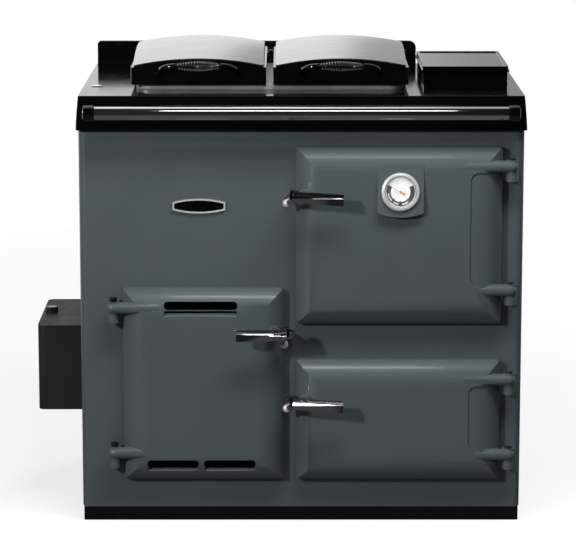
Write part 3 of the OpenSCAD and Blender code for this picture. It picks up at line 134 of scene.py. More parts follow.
def block(name, low, high):
    """A box between two corners, in millimetres."""
    low, high = mm(*low), mm(*high)
    bpy.ops.object.select_all(action="DESELECT")
    bpy.ops.mesh.primitive_cube_add(size=1, location=(low + high) / 2)
    piece = named(bpy.context.object, name)
    piece.scale = high - low
    return settle(piece)


def rod(name, start, end, radius, sides=48):
    """A round bar between two points, in millimetres."""
    start, end = mm(*start), mm(*end)
    way = end - start
    bpy.ops.object.select_all(action="DESELECT")
    bpy.ops.mesh.primitive_cylinder_add(vertices=sides, radius=radius * MM, depth=way.length,
                                        location=(start + end) / 2)
    piece = named(bpy.context.object, name)
    piece.rotation_mode = "QUATERNION"
    piece.rotation_quaternion = way.to_track_quat("Z", "Y")
    return settle(piece)


def apply(piece, kind, **settings):
    """Add a modifier, set it and apply it."""
    take(piece)
    modifier = piece.modifiers.new(kind.title(), kind)
    for key, value in settings.items():
        setattr(modifier, key, value)
    bpy.ops.object.modifier_apply(modifier=modifier.name)
    return piece


def ease(piece, width, segments=2, angle=32):
    """Round the sharp edges of a piece over a width in millimetres."""
    return apply(piece, "BEVEL", width=width * MM, segments=segments, limit_method="ANGLE",
                 angle_limit=math.radians(angle), miter_outer="MITER_ARC", use_clamp_overlap=True)


def smooth(piece, angle=32, weigh=True):
    """Shade round faces smooth and flat ones flat."""
    take(piece)
    bpy.ops.object.shade_smooth_by_angle(angle=math.radians(angle))
    if weigh:
        apply(piece, "WEIGHTED_NORMAL", keep_sharp=True, weight=60)
    return piece


def tidy(piece, gap=MERGE):
    """Merge doubled points and turn every face outwards."""
    edit(piece)
    bpy.ops.mesh.select_all(action="SELECT")
    bpy.ops.mesh.remove_doubles(threshold=gap)
    bpy.ops.mesh.normals_make_consistent(inside=False)
    return close(piece)


def join(name, pieces):
    """Make one piece of several."""
    bpy.ops.object.select_all(action="DESELECT")
    for piece in pieces:
        piece.select_set(True)
    bpy.context.view_layer.objects.active = pieces[0]
    bpy.ops.object.join()
    return named(bpy.context.object, name)


def cut(piece, tool):
    """Take the shape of a tool out of a piece."""
    apply(piece, "BOOLEAN", operation="DIFFERENCE", object=tool, solver="EXACT")
    bpy.data.objects.remove(tool)
    return piece


def spun(name, outline, sides=64):
    """A turned piece: (radius, height) points in millimetres, drawn point by point and spun about Z."""
    bpy.ops.object.select_all(action="DESELECT")
    bpy.ops.mesh.primitive_plane_add(size=MM)
    piece = named(bpy.context.object, name)
    bpy.ops.object.mode_set(mode="EDIT")
    bpy.ops.mesh.select_mode(type="VERT")
    bpy.ops.mesh.select_all(action="SELECT")
    bpy.ops.mesh.merge(type="CENTER")
    bpy.ops.transform.translate(value=mm(outline[0][0], 0, outline[0][1]))
    for (radius, height), (next_radius, next_height) in zip(outline, outline[1:]):
        step = mm(next_radius - radius, 0, next_height - height)
        bpy.ops.mesh.extrude_vertices_move(TRANSFORM_OT_translate={"value": step})
    bpy.ops.mesh.select_all(action="SELECT")
    bpy.ops.mesh.spin(steps=sides, angle=2 * math.pi, center=(0, 0, 0), axis=(0, 0, 1), dupli=False)
    close(piece)
    return tidy(piece, MERGE_FINE)


def placed(piece, place, turn=None):
    """Carry a piece made about the origin to its place, turned by a matrix."""
    if turn is not None:
        piece.matrix_world = turn.to_4x4()
        settle(piece)
    piece.location = mm(*place)
    return settle(piece)


def twin(piece, name, shift=(0, 0, 0), flip=False):
    """A copy with its own mesh, moved or mirrored left to right."""
    copy = piece.copy()
    copy.data = piece.data.copy()
    bpy.context.scene.collection.objects.link(copy)
    named(copy, name)
    if flip:
        copy.scale = (-1, 1, 1)
        settle(copy)
        tidy(copy)
    copy.location = mm(*shift)
    return settle(copy)


FLAT_ANGLE = math.radians(0.4)


def from_frame(node, name, round_off=0.0, segments=2, angle=32, shade=32, flatten=True):
    """A copy of a frame node with merged points, eased edges and smooth curves.

    Flatten makes one face of each flat stretch first.
    """
    source = frame["nodes"][node]
    piece = source.copy()
    piece.data = source.data.copy()
    for key in list(piece.keys()):
        del piece[key]
    piece.parent = None
    bpy.context.scene.collection.objects.link(piece)
    named(piece, name)
    edit(piece)
    bpy.ops.mesh.select_all(action="SELECT")
    bpy.ops.mesh.remove_doubles(threshold=MERGE)
    if flatten:
        bpy.ops.mesh.dissolve_limited(angle_limit=FLAT_ANGLE)
    close(piece)
    if round_off:
        ease(piece, round_off, segments, angle)
    return smooth(piece, shade)


def fit(piece, finish, slot_name, body, *nodes):
    """Give a piece its finish and its body, and let it stand for frame nodes. The slot name is not used."""
    piece.data.materials.clear()
    piece.data.materials.append(finish)
    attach(piece, body)
    if nodes:
        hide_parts(*nodes)
    return piece


# Finishes


def shader(name):
    """A new material, its node tree and its main shader."""
    material = bpy.data.materials.new(name)
    material.use_nodes = True
    tree = material.node_tree
    return material, tree, tree.nodes["Principled BSDF"]


def object_place(tree, stretch=(1, 1, 1), turn=(0, 0, 0)):
    """Object coordinates, stretched and turned."""
    where = tree.nodes.new("ShaderNodeTexCoord")
    scale = tree.nodes.new("ShaderNodeMapping")
    scale.inputs["Scale"].default_value = stretch
    scale.inputs["Rotation"].default_value = turn
    tree.links.new(where.outputs["Object"], scale.inputs["Vector"])
    return scale.outputs["Vector"]


def noise(tree, place, size, detail=3, rough=0.5):
    """A cloudy pattern."""
    made = tree.nodes.new("ShaderNodeTexNoise")
    made.inputs["Scale"].default_value = size
    made.inputs["Detail"].default_value = detail
    made.inputs["Roughness"].default_value = rough
    tree.links.new(place, made.inputs["Vector"])
    return made.outputs["Fac"]


def spread(tree, value, low, high, from_low=0.3, from_high=0.7):
    """Map a pattern's middle range onto another range."""
    made = tree.nodes.new("ShaderNodeMapRange")
    made.inputs["From Min"].default_value = from_low
    made.inputs["From Max"].default_value = from_high
    made.inputs["To Min"].default_value = low
    made.inputs["To Max"].default_value = high
    tree.links.new(value, made.inputs["Value"])
    return made.outputs["Result"]


def two_tone(tree, value, dark, light):
    """Colour that wanders between two tones."""
    ramp = tree.nodes.new("ShaderNodeValToRGB")
    ramp.color_ramp.elements[0].position = 0.3
    ramp.color_ramp.elements[1].position = 0.7
    ramp.color_ramp.elements[0].color = (*dark, 1)
    ramp.color_ramp.elements[1].color = (*light, 1)
    tree.links.new(value, ramp.inputs["Fac"])
    return ramp.outputs["Color"]


def dent(tree, main, height, strength, depth):
    """Bump of a depth in millimetres."""
    bump = tree.nodes.new("ShaderNodeBump")
    bump.inputs["Strength"].default_value = strength
    bump.inputs["Distance"].default_value = depth * MM
    tree.links.new(height, bump.inputs["Height"])
    tree.links.new(bump.outputs["Normal"], main.inputs["Normal"])


def finish(name, dark, light, rough, metal=0.0, tone_size=6, grain=160, grain_depth=0.1,
           grain_strength=0.3, stretch=(1, 1, 1), coat=0.0, specular=0.5):
    """A surface whose tone, roughness and grain all vary a little."""
    material, tree, main = shader(name)
    place = object_place(tree, stretch)
    main.inputs["Metallic"].default_value = metal
    main.inputs["Specular IOR Level"].default_value = specular
    main.inputs["Coat Weight"].default_value = coat
    main.inputs["Coat Roughness"].default_value = 0.05
    tree.links.new(two_tone(tree, noise(tree, place, tone_size), dark, light), main.inputs["Base Color"])
    tree.links.new(spread(tree, noise(tree, place, tone_size * 4, 4), *rough), main.inputs["Roughness"])
    dent(tree, main, noise(tree, place, grain, 4, 0.55), grain_strength, grain_depth)
    return material


SLATE = finish("slate_enamel", (0.052, 0.066, 0.070), (0.058, 0.073, 0.078), (0.36, 0.44), tone_size=3,
               grain=60, grain_depth=0.05, grain_strength=0.12, coat=0.18)
BLACK = finish("black_enamel", (0.0006, 0.0006, 0.0007), (0.0012, 0.0012, 0.0013), (0.07, 0.11), tone_size=3,
               grain=38, grain_depth=0.02, grain_strength=0.10, specular=0.7)
TOP_BLACK = finish("black_enamel_top", (0.0006, 0.0006, 0.0007), (0.0012, 0.0012, 0.0013), (0.09, 0.13),
                   tone_size=3, grain=38, grain_depth=0.02, grain_strength=0.10, specular=0.8)
SATIN = finish("black_satin", (0.011, 0.011, 0.011), (0.015, 0.015, 0.015), (0.50, 0.60), grain=900,
               grain_depth=0.05, specular=0.18)
IRON = finish("cast_iron", (0.110, 0.108, 0.106), (0.160, 0.155, 0.150), (0.55, 0.72), metal=0.2, grain=420,
              grain_depth=0.25, grain_strength=0.6)
GROUND = finish("ground_iron", (0.20, 0.20, 0.205), (0.28, 0.28, 0.285), (0.34, 0.46), metal=0.35,
                tone_size=10, grain=120, stretch=(1, 14, 1), grain_depth=0.03)
OVEN = finish("oven_enamel", (0.075, 0.075, 0.080), (0.105, 0.105, 0.112), (0.30, 0.42), grain=300,
              grain_depth=0.12)
SHEET = finish("sheet_steel", (0.46, 0.46, 0.47), (0.56, 0.56, 0.57), (0.26, 0.38), metal=1.0, grain=90,
               stretch=(1, 1, 16), grain_depth=0.02)
ZINC = finish("zinc", (0.36, 0.37, 0.38), (0.50, 0.51, 0.52), (0.34, 0.5), metal=1.0, tone_size=22,
              grain=60, grain_depth=0.03)
COPPER = finish("copper", (0.60, 0.27, 0.15), (0.74, 0.36, 0.21), (0.22, 0.36), metal=1.0, grain=200,
                grain_depth=0.03)
CHROME = finish("chrome", (0.74, 0.74, 0.75), (0.80, 0.80, 0.81), (0.05, 0.09), metal=1.0, tone_size=14,
                grain=300, grain_depth=0.01, grain_strength=0.15)
WIRE = finish("chrome_wire", (0.48, 0.48, 0.49), (0.58, 0.58, 0.59), (0.04, 0.08), metal=1.0, tone_size=30,
              grain=300, grain_depth=0.01, grain_strength=0.15)
POLISHED = finish("polished_cover", (0.60, 0.60, 0.60), (0.66, 0.66, 0.66), (0.20, 0.27), metal=1.0,
                  tone_size=4, grain=110, stretch=(1, 22, 1), grain_depth=0.006, grain_strength=0.25)
WOOL = finish("insulation", (0.42, 0.36, 0.25), (0.62, 0.55, 0.42), (0.9, 1.0), grain=800, grain_depth=1.2,
              grain_strength=1.0, specular=0.1)
ROPE = finish("seal_rope", (0.10, 0.10, 0.10), (0.24, 0.24, 0.23), (0.85, 1.0), tone_size=160, grain=340,
              grain_depth=0.8, grain_strength=0.9, specular=0.1)
PIN_STEEL = finish("pin_steel", (0.05, 0.05, 0.05), (0.09, 0.088, 0.085), (0.3, 0.42), metal=1.0, grain=300,
                   grain_depth=0.03)
PLASTIC = finish("black_plastic", (0.010, 0.009, 0.009), (0.014, 0.012, 0.012), (0.26, 0.36), grain=1400,
                 grain_depth=0.03)
WHITE = finish("white_dial", (0.80, 0.80, 0.79), (0.84, 0.84, 0.83), (0.3, 0.36), grain=900,
               grain_depth=0.01)
ORANGE = finish("needle_paint", (0.70, 0.15, 0.03), (0.78, 0.20, 0.05), (0.3, 0.4), grain=600,
                grain_depth=0.01)

# Partly real metal, partly painted reflection: the light diffuse base stands in for the bright surroundings
# that the chrome ring, ball and badge would mirror.
TRIM_PAINTED_SHINE = finish("trim_painted_shine", (0.70, 0.70, 0.70), (0.78, 0.78, 0.78), (0.22, 0.30), metal=0.55, grain=200,
                grain_depth=0.01, grain_strength=0.15)
TAN = finish("needle_tan", (0.46, 0.25, 0.11), (0.56, 0.31, 0.15), (0.3, 0.4), grain=600, grain_depth=0.01)
INK = finish("dial_ink", (0.030, 0.030, 0.030), (0.042, 0.041, 0.040), (0.35, 0.42), grain=600,
             grain_depth=0.01)


def clear_glass():
    """Thin glass that lets the dial show."""
    material, tree, main = shader("clear_glass")
    main.inputs["Base Color"].default_value = (1, 1, 1, 1)
    main.inputs["Transmission Weight"].default_value = 1.0
    main.inputs["IOR"].default_value = 1.2
    tree.links.new(spread(tree, noise(tree, object_place(tree), 60), 0.0, 0.02), main.inputs["Roughness"])
    return material


GLASS = clear_glass()

# Camera and light

CAMERA_PLACE = (-0.0310, -5.9986, 1.6057)
CAMERA_DOWN, CAMERA_TURN = 10.725, -0.035
FOCAL_PIXELS, IMAGE_WIDE = 2796.1, 576
SENSOR_WIDE = 36
FAR_CLIP = 60


def photo_camera():
    """The camera where the photographer stood, looking down a little."""
    bpy.ops.object.select_all(action="DESELECT")
    bpy.ops.object.camera_add(location=CAMERA_PLACE)
    camera = bpy.context.object
    camera.name = "camera"
    camera.rotation_euler = (math.radians(90 - CAMERA_DOWN), 0, math.radians(CAMERA_TURN))
    camera.data.sensor_width = SENSOR_WIDE
    camera.data.lens = FOCAL_PIXELS / IMAGE_WIDE * SENSOR_WIDE
    camera.data.clip_end = FAR_CLIP
    bpy.context.scene.camera = camera


photo_camera()


def lamp(name, place, target, size, watts):
    """A soft white lamp that points at a place."""
    bpy.ops.object.select_all(action="DESELECT")
    bpy.ops.object.light_add(type="AREA", location=place)
    light = bpy.context.object
    light.name = name
    light.data.shape = "RECTANGLE"
    light.data.size, light.data.size_y = size
    light.data.energy = watts
    light.rotation_euler = (Vector(target) - Vector(place)).to_track_quat("-Z", "Y").to_euler()
    return light


def studio_lamps():
    """The main lamp on the left, soft ones above and behind, and a small card for bright metal."""
    lamp("key_light", place=(-2.75, -3.40, 2.20), target=(0, -0.3, 0.42), size=(0.34, 0.34), watts=140)
    above = lamp("sheen_light", place=(0.42, -1.20, 2.50), target=(0.28, -0.3, 0.7), size=(1.7, 0.50),
                 watts=66)
    above.visible_glossy = False
    card = lamp("lever_card", place=(0.02, -1.00, 1.60), target=(0.02, -0.36, 0.39), size=(0.7, 0.24),
                watts=0.21)
    card.data.spread = math.radians(30)
    card.visible_diffuse = False
    behind = lamp("back_light", place=(1.4, 3.0, 2.4), target=(0, 0.2, 0.5), size=(1.4, 1.4), watts=70)
    behind.visible_glossy = False


studio_lamps()


def smooth_range(tree, value, from_low, from_high, to_low, to_high):
    """Map a value onto another range with soft ends."""
    made = tree.nodes.new("ShaderNodeMapRange")
    made.interpolation_type = "SMOOTHSTEP"
    made.inputs["From Min"].default_value = from_low
    made.inputs["From Max"].default_value = from_high
    made.inputs["To Min"].default_value = to_low
    made.inputs["To Max"].default_value = to_high
    tree.links.new(value, made.inputs["Value"])
    return made.outputs["Result"]


def reckon(tree, operation, first, second):
    """One sum of two values."""
    made = tree.nodes.new("ShaderNodeMath")
    made.operation = operation
    tree.links.new(first, made.inputs[0])
    tree.links.new(second, made.inputs[1])
    return made.outputs[0]


def choose(tree, switch, without, when_on):
    """Mix two shaders by a switch."""
    made = tree.nodes.new("ShaderNodeMixShader")
    tree.links.new(switch, made.inputs[0])
    tree.links.new(without, made.inputs[1])
    tree.links.new(when_on, made.inputs[2])
    return made.outputs[0]


def glow(tree, strength):
    """A white background shader."""
    made = tree.nodes.new("ShaderNodeBackground")
    made.inputs["Color"].default_value = (1, 1, 1, 1)
    made.inputs["Strength"].default_value = strength
    return made


SEEN_WHITE, QUIET_FILL = 1.0, 0.13
ROOM_DARK, ROOM_RIGHT = 0.02, 0.45
# Where the mirrored room fades from dark to white, front to back, and dims to the right
DEPTH_FADE, SIDE_FADE = (-0.10, 0.40), (0.0, 0.08)


def studio_world():
    """White behind the object and for the camera, dark behind the camera, and a quiet fill."""
    bpy.context.scene.view_settings.view_transform = "Standard"
    world = bpy.data.worlds.new("studio")
    bpy.context.scene.world = world
    world.use_nodes = True
    tree = world.node_tree
    tree.nodes.clear()
    out = tree.nodes.new("ShaderNodeOutputWorld")
    ray = tree.nodes.new("ShaderNodeLightPath")
    seen, fill, gloss = glow(tree, SEEN_WHITE), glow(tree, QUIET_FILL), glow(tree, SEEN_WHITE)
    where = tree.nodes.new("ShaderNodeTexCoord")
    split = tree.nodes.new("ShaderNodeSeparateXYZ")
    tree.links.new(where.outputs["Generated"], split.inputs[0])
    depth = smooth_range(tree, split.outputs["Y"], *DEPTH_FADE, ROOM_DARK, SEEN_WHITE)
    side = smooth_range(tree, split.outputs["X"], *SIDE_FADE, SEEN_WHITE, ROOM_RIGHT)
    tree.links.new(reckon(tree, "MULTIPLY", depth, side), gloss.inputs["Strength"])
    indirect = choose(tree, ray.outputs["Is Glossy Ray"], fill.outputs[0], gloss.outputs[0])
    straight = reckon(tree, "MAXIMUM", ray.outputs["Is Camera Ray"], ray.outputs["Is Transmission Ray"])
    tree.links.new(choose(tree, straight, indirect, seen.outputs[0]), out.inputs["Surface"])


studio_world()


FLOOR_RADIUS, FADE_NEAR, FADE_FAR = 9, 1.2, 3.6
FLOOR_TONE, FLOOR_SEEN, FLOOR_MIRRORED, FLOOR_GLOW = 0.16, 0.26, 0.06, 0.71


def matt(tree, tone):
    """A plain diffuse grey."""
    made = tree.nodes.new("ShaderNodeBsdfDiffuse")
    made.inputs["Color"].default_value = (tone, tone, tone, 1)
    return made.outputs[0]


def floor():
    """A wide floor, white to the camera but for the object's shadow, quiet as a mirror image."""
    bpy.ops.object.select_all(action="DESELECT")
    bpy.ops.mesh.primitive_circle_add(vertices=96, radius=FLOOR_RADIUS, fill_type="NGON", location=(0, 0, 0))
    piece = named(bpy.context.object, "studio_floor")
    material, tree, main = shader("pale_floor")
    main.inputs["Base Color"].default_value = (FLOOR_TONE, FLOOR_TONE, FLOOR_TONE, 1)
    main.inputs["Roughness"].default_value = 0.9
    main.inputs["Specular IOR Level"].default_value = 0.0
    lit = tree.nodes.new("ShaderNodeEmission")
    lit.inputs["Strength"].default_value = FLOOR_GLOW
    bright = tree.nodes.new("ShaderNodeAddShader")
    tree.links.new(matt(tree, FLOOR_SEEN), bright.inputs[0])
    tree.links.new(lit.outputs[0], bright.inputs[1])
    ray = tree.nodes.new("ShaderNodeLightPath")
    quiet = choose(tree, ray.outputs["Is Glossy Ray"], main.outputs[0], matt(tree, FLOOR_MIRRORED))
    near = choose(tree, ray.outputs["Is Camera Ray"], quiet, bright.outputs[0])
    clear = tree.nodes.new("ShaderNodeBsdfTransparent")
    place = tree.nodes.new("ShaderNodeTexCoord")
    length = tree.nodes.new("ShaderNodeVectorMath")
    length.operation = "LENGTH"
    tree.links.new(place.outputs["Object"], length.inputs[0])
    fade = spread(tree, length.outputs["Value"], 0, 1, FADE_NEAR, FADE_FAR)
    whole = choose(tree, fade, near, clear.outputs[0])
    tree.links.new(whole, tree.nodes["Material Output"].inputs["Surface"])
    piece.data.materials.append(material)


floor()

# Frame nodes and their skins

FINISHES = {
    "slate_enamel": SLATE, "black_enamel": BLACK, "cast_iron": IRON, "chrome": CHROME,
    "sheet_steel": SHEET, "polished_cover": POLISHED, "ground_iron": GROUND, "oven_enamel": OVEN,
    "copper": COPPER, "zinc": ZINC, "insulation": WOOL, "seal_rope": ROPE, "black_satin": SATIN,
    "black_plastic": PLASTIC, "white_dial": WHITE, "needle_paint": ORANGE, "clear_glass": GLASS,
    "pin_steel": PIN_STEEL,
}
SLOT_OF = {row["node"]: row["material_slot"] for row in frame["record"]["subparts"]}
for node_name, node in frame["nodes"].items():
    node.data.materials.clear()
    node.data.materials.append(FINISHES[SLOT_OF[node_name]])

# Castings and pressings: round-off of their edges in millimetres
EASED = {
    "front_plate": 1.5, "top_plate": 2.5, "upstand": 2.5, "flue_cover": 1.5, "flue_chamber": 1.5,
    "left_side_panel": 1.0, "right_side_panel": 1.0, "plinth": 1.5, "top_plug": 0.6, "hotplate": 1.2,
    "main_door": 2.0, "lower_door": 2.0, "burner_door": 2.0, "hinge_brackets": 1.5, "hinge_pins": 0.6,
    "catch_studs": 0.8, "handrail_brackets": 3.0, "lid_hinge_brackets": 1.0, "lid_hinge_rod": 0.5,
    "oil_control_cover": 2.0, "oil_control_valve": 1.0, "control_knob": 0.5, "left_lid_frame": 1.5,
    "right_lid_frame": 1.5, "left_lid_cover": 0.6, "right_lid_cover": 0.6, "left_lid_grip_bar": 0.5,
    "right_lid_grip_bar": 0.5, "main_door_liner": 1.0, "lower_door_liner": 1.0, "fascia": 2.0,
    "flue_collar": 1.0, "main_door_seal": 3.0, "lower_door_seal": 3.0, "burner_door_seal": 3.0,
    "burner_door_shield": 0.5, "burner_pot": 1.0, "oven_shelves": 0.0, "water_pipes": 0.4,
    "oil_feed_pipe": 0.0, "flue_spigot": 0.4, "burner_shells": 0.0, "dial_face": 0.2,
}
# These keep their triangles: merged into one face, a flat stretch with a hole or a fold can grow over it
UNMERGED = (
    "front_plate", "right_side_panel", "plinth", "lid_hinge_brackets", "oil_control_cover", "flue_cover",
)
for node_name, width in EASED.items():
    skin = from_frame(node_name, node_name + "_skin", width, flatten=node_name not in UNMERGED)
    shown = TOP_BLACK if node_name == "top_plate" else FINISHES[SLOT_OF[node_name]]
    fit(skin, shown, SLOT_OF[node_name], BODY_OF[node_name], node_name)

# Handrail

RAIL_Y, RAIL_Z, RAIL_R, RAIL_HALF, RAIL_SIDES = -341.4, 871, 14, 422, 96
rail = rod("handrail_tube", (-RAIL_HALF, RAIL_Y, RAIL_Z), (RAIL_HALF, RAIL_Y, RAIL_Z), RAIL_R, RAIL_SIDES)
smooth(rail, 40, weigh=False)
fit(rail, CHROME, "chrome", "cooker", "handrail")

# Latch levers

LEVER_Y = -382
BAR_BACK, BAR_LONG, BAR_HALF, BAR_DEEP = 26, 78, 11.5, 7
BAR_CUTS = (0, 26, 52)
# Front edges of the bar, top to bottom: height, then the shift at the latch end and at the free end
BAR_EDGES = (
    (BAR_HALF, (0, 12, 0), (0, 12, 0)), (8.5, (0, 12, 0), (0, 12, 0)), (4.5, (0, 5.6, 0), (0, 5.5, -0.1)),
    (-2, (0, 1, 1), (0, 5, 5.6)), (-BAR_HALF, (0, 9.5, 0), (0, 2.4, 0)),
)
BALL_R = 8.5
# Seats of the balls from the pivot: on the levers of both ovens, and on the burner's
HIGH_BALL, LOW_BALL = (-37, 42, -19), (-21, 42, -27)
CLAW_START, CLAW_R, CLAW_INTO_BALL = (-21, 2, -5), 5, (3, -6, 3)
ROD_START, NECK_R, NECK_END, STEM_R, STEM_START, STEM_END = 2, 9, 33.6, 5.6, 33, 72
# How near to a place a point counts as there
NEAR = 0.4


def globe(name, place, radius):
    """A ball."""
    bpy.ops.object.select_all(action="DESELECT")
    bpy.ops.mesh.primitive_uv_sphere_add(segments=40, ring_count=20, radius=radius * MM,
                                         location=mm(*place))
    piece = settle(named(bpy.context.object, name))
    take(piece)
    bpy.ops.object.shade_smooth()
    return piece


def lever_bar():
    """The bar: a block whose front is cut into long facets that twist from one end to the other."""
    bar = block("lever_bar", (-BAR_BACK, -BAR_DEEP, -BAR_HALF), (BAR_LONG, BAR_DEEP, BAR_HALF))
    edit(bar)
    for height, _, _ in BAR_EDGES[1:-1]:
        slice_at(bar, (0, 0, height), (0, 0, 1))
    front = (NEAR / 4 - BAR_DEEP) * MM
    for height, latch_end, free_end in BAR_EDGES[::-1]:
        for way, shift in ((-1, latch_end), (1, free_end)):
            nudge(bar, lambda p: p.y < front and abs(p.z - height * MM) < NEAR * MM and p.x * way > 0, shift)
    for x in BAR_CUTS:
        slice_at(bar, (x, 0, 0), (1, 0, 0))
    close(bar)
    ease(bar, 0.45, 2, 15)
    return smooth(bar, 13)


def latch_lever(seat):
    """One bright lever about its pivot, short end to the left, and the ball that its claw holds at a seat."""
    claw_end = Vector(seat) + Vector(CLAW_INTO_BALL)
    claw = rod("lever_claw", CLAW_START, claw_end, CLAW_R, 24)
    neck = rod("lever_neck", (0, ROD_START, 0), (0, NECK_END, 0), NECK_R, 40)
    stem = rod("lever_stem", (0, STEM_START, 0), (0, STEM_END, 0), STEM_R, 32)
    for piece in (claw, neck, stem):
        smooth(ease(piece, 0.6, 2), 40)
    return join("lever_pattern", [lever_bar(), claw, neck, stem]), globe("lever_ball", seat, BALL_R)


BLOCK_LOW, BLOCK_HIGH = (-32, 9, -6), (-15, 27, 13.5)


def catch_block():
    """The dark block that carries the claw, behind the lever's short end."""
    piece = block("catch_block", BLOCK_LOW, BLOCK_HIGH)
    edit(piece)
    nudge(piece, lambda p: p.x > (BLOCK_HIGH[0] - NEAR) * MM and p.z > 0, (2, 0, -1.5))
    close(piece)
    ease(piece, 1.2, 3)
    return smooth(piece)


def hang(pattern, name, pivot, droop, flip=False):
    """A copy of a lever piece at its pivot, its long end hanging by some degrees."""
    piece = twin(pattern, name, flip=flip)
    angle = math.radians(-droop if flip else droop)
    return placed(piece, (pivot[0], LEVER_Y, pivot[1]), Matrix.Rotation(angle, 3, "Y"))


high_pattern, low_pattern = latch_lever(HIGH_BALL), latch_lever(LOW_BALL)
pattern_block = catch_block()
# Pivot across and up, droop in degrees, whether it is mirrored, and its body
LEVERS = {
    "main_door_lever": ((8, 702.25), 3.4, False, "main_lever"),
    "lower_door_lever": ((8, 270.25), 3.4, False, "lower_lever"),
    "burner_door_lever": ((-56.5, 416.75), 0.6, True, "burner_lever"),
}
for node_name, (pivot, droop, flip, body) in LEVERS.items():
    pattern_bar, pattern_ball = low_pattern if flip else high_pattern
    fit(hang(pattern_bar, node_name + "_bar", pivot, droop, flip), WIRE, "chrome", body, node_name)
    fit(hang(pattern_ball, node_name + "_ball", pivot, droop, flip), TRIM_PAINTED_SHINE, "chrome", body)
    fit(hang(pattern_block, node_name + "_block", pivot, droop, flip), BLACK, "chrome", body)
for pattern in (*high_pattern, *low_pattern, pattern_block):
    bpy.data.objects.remove(pattern)

# Thermometer

# The dial's middle and its turn: it lies on the main door's wedge and looks a little upwards
DIAL_PLACE = (203.0, -342.62, 709.25)
DIAL_TURN = Matrix(((1, 0, 0), (0, 0.1217, -0.99257), (0, 0.99257, 0.1217)))
# Heights over the glass: the face, and how far the print, its faint line and the bars stand on it
DIAL_FACE = -1
PRINT_LOW, PRINT_HIGH, LINE_HIGH, BARS_LOW, BARS_HIGH = 0.02, 0.12, 0.10, 0.13, 0.2
ARC_IN, ARC_OUT, ARC_START, ARC_END = 20.2, 29.2, 150.5, 389.1
TICK_IN, TICK_OUT, TICK_HALF, TICKS = 17.8, 20.7, 2.2, (228.3, 270, 310.9)
LINE_IN, LINE_START, LINE_END = 4, 28.7, 29.3
BAR_IN, BAR_OUT, BAR_RANGES = 24.1, 26.4, ((187.4, 225), (234.6, 259.9), (277.2, 307.4))
CASE_OUTLINE = (
    (0, -16), (32.5, -16), (32.5, 0), (39.5, 0), (39.5, 2.4), (39.0, 4.2), (37.8, 5.6), (36.2, 6.2),
    (35.6, 5.7), (35.0, 6.3), (34.0, 6.9), (33.0, 6.7), (32.2, 5.6), (31.6, 3.0), (31.2, -1), (31.2, -14),
    (0, -14),
)
DEGREES_A_STEP = 4
# Depth of the line that is spun into a sector, as a share of a millimetre
SLIVER = 0.001


def sector(name, inner, outer, start, end, low, high):
    """A flat strip bent round the dial's middle, from one angle to another."""
    sweep = math.radians(end - start)
    bpy.ops.object.select_all(action="DESELECT")
    bpy.ops.mesh.primitive_plane_add(size=MM, location=mm((inner + outer) / 2, 0, low))
    piece = named(bpy.context.object, name)
    piece.scale = (outer - inner, SLIVER, 1)
    settle(piece)
    edit(piece)
    bpy.ops.mesh.select_all(action="SELECT")
    bpy.ops.mesh.delete(type="ONLY_FACE")
    pick_edges(piece, lambda a, b: a.y > 0 and b.y > 0)
    bpy.ops.mesh.spin(steps=max(4, int(abs(end - start) / DEGREES_A_STEP)), angle=-sweep, center=(0, 0, 0),
                      axis=(0, 0, 1), dupli=False)
    close(piece)
    tidy(piece)
    edit(piece)
    bpy.ops.mesh.select_all(action="SELECT")
    bpy.ops.mesh.extrude_region_move(TRANSFORM_OT_translate={"value": mm(0, 0, high - low)})
    close(piece)
    tidy(piece)
    piece.rotation_euler = (0, 0, math.radians(start))
    return settle(piece)


def on_dial(piece):
    """Carry a piece made flat about the dial's middle to the door."""
    return placed(piece, DIAL_PLACE, DIAL_TURN)


def dial_case():
    """The turned ring of the case, its back and its stub in the door."""
    return on_dial(smooth(spun("dial_case_turned", CASE_OUTLINE, 96), 40))


def dial_print():
    """The dark arc, three ticks and one faint line."""
    low, high = DIAL_FACE + PRINT_LOW, DIAL_FACE + PRINT_HIGH
    ink = [sector("dial_arc", ARC_IN, ARC_OUT, ARC_START, ARC_END, low, high)]
    for middle in TICKS:
        ink.append(sector("dial_tick", TICK_IN, TICK_OUT, middle - TICK_HALF, middle + TICK_HALF, low, high))
    ink.append(sector("dial_line", LINE_IN, ARC_IN, LINE_START, LINE_END, low, DIAL_FACE + LINE_HIGH))
    return on_dial(join("dial_print", ink))


def dial_bars():
    """White bars on the dark arc, where the real dial has words."""
    low, high = DIAL_FACE + BARS_LOW, DIAL_FACE + BARS_HIGH
    return on_dial(join("dial_bars", [
        sector("dial_bar", BAR_IN, BAR_OUT, start, end, low, high) for start, end in BAR_RANGES
    ]))


fit(dial_case(), TRIM_PAINTED_SHINE, "chrome", "main_door", "dial_case")
fit(dial_print(), INK, "white_dial", "main_door")
fit(dial_bars(), WHITE, "white_dial", "main_door")

NEEDLE_LOW, NEEDLE_HIGH, NEEDLE_LIFT, NEEDLE_TURN = -0.3, 0.1, 0.2, 150
ARM_BACK, ARM_END, ARM_HALF = -2, 24, 0.45
TIP_END, TIP_HALF, TIP_TAPER = 28.6, 0.6, 0.45
TAIL_END, TAIL_START, TAIL_HALF, TAIL_FLARE = -12, -2.2, 0.9, 2.0
HUB_OUTLINE = ((0, -0.8), (2.6, -0.8), (2.6, 0.3), (1.9, 0.9), (0, 1.0))


def needle_bar(name, start, end, half):
    """A flat bar of the needle along X."""
    return block(name, (start, -half, NEEDLE_LOW), (end, half, NEEDLE_HIGH))


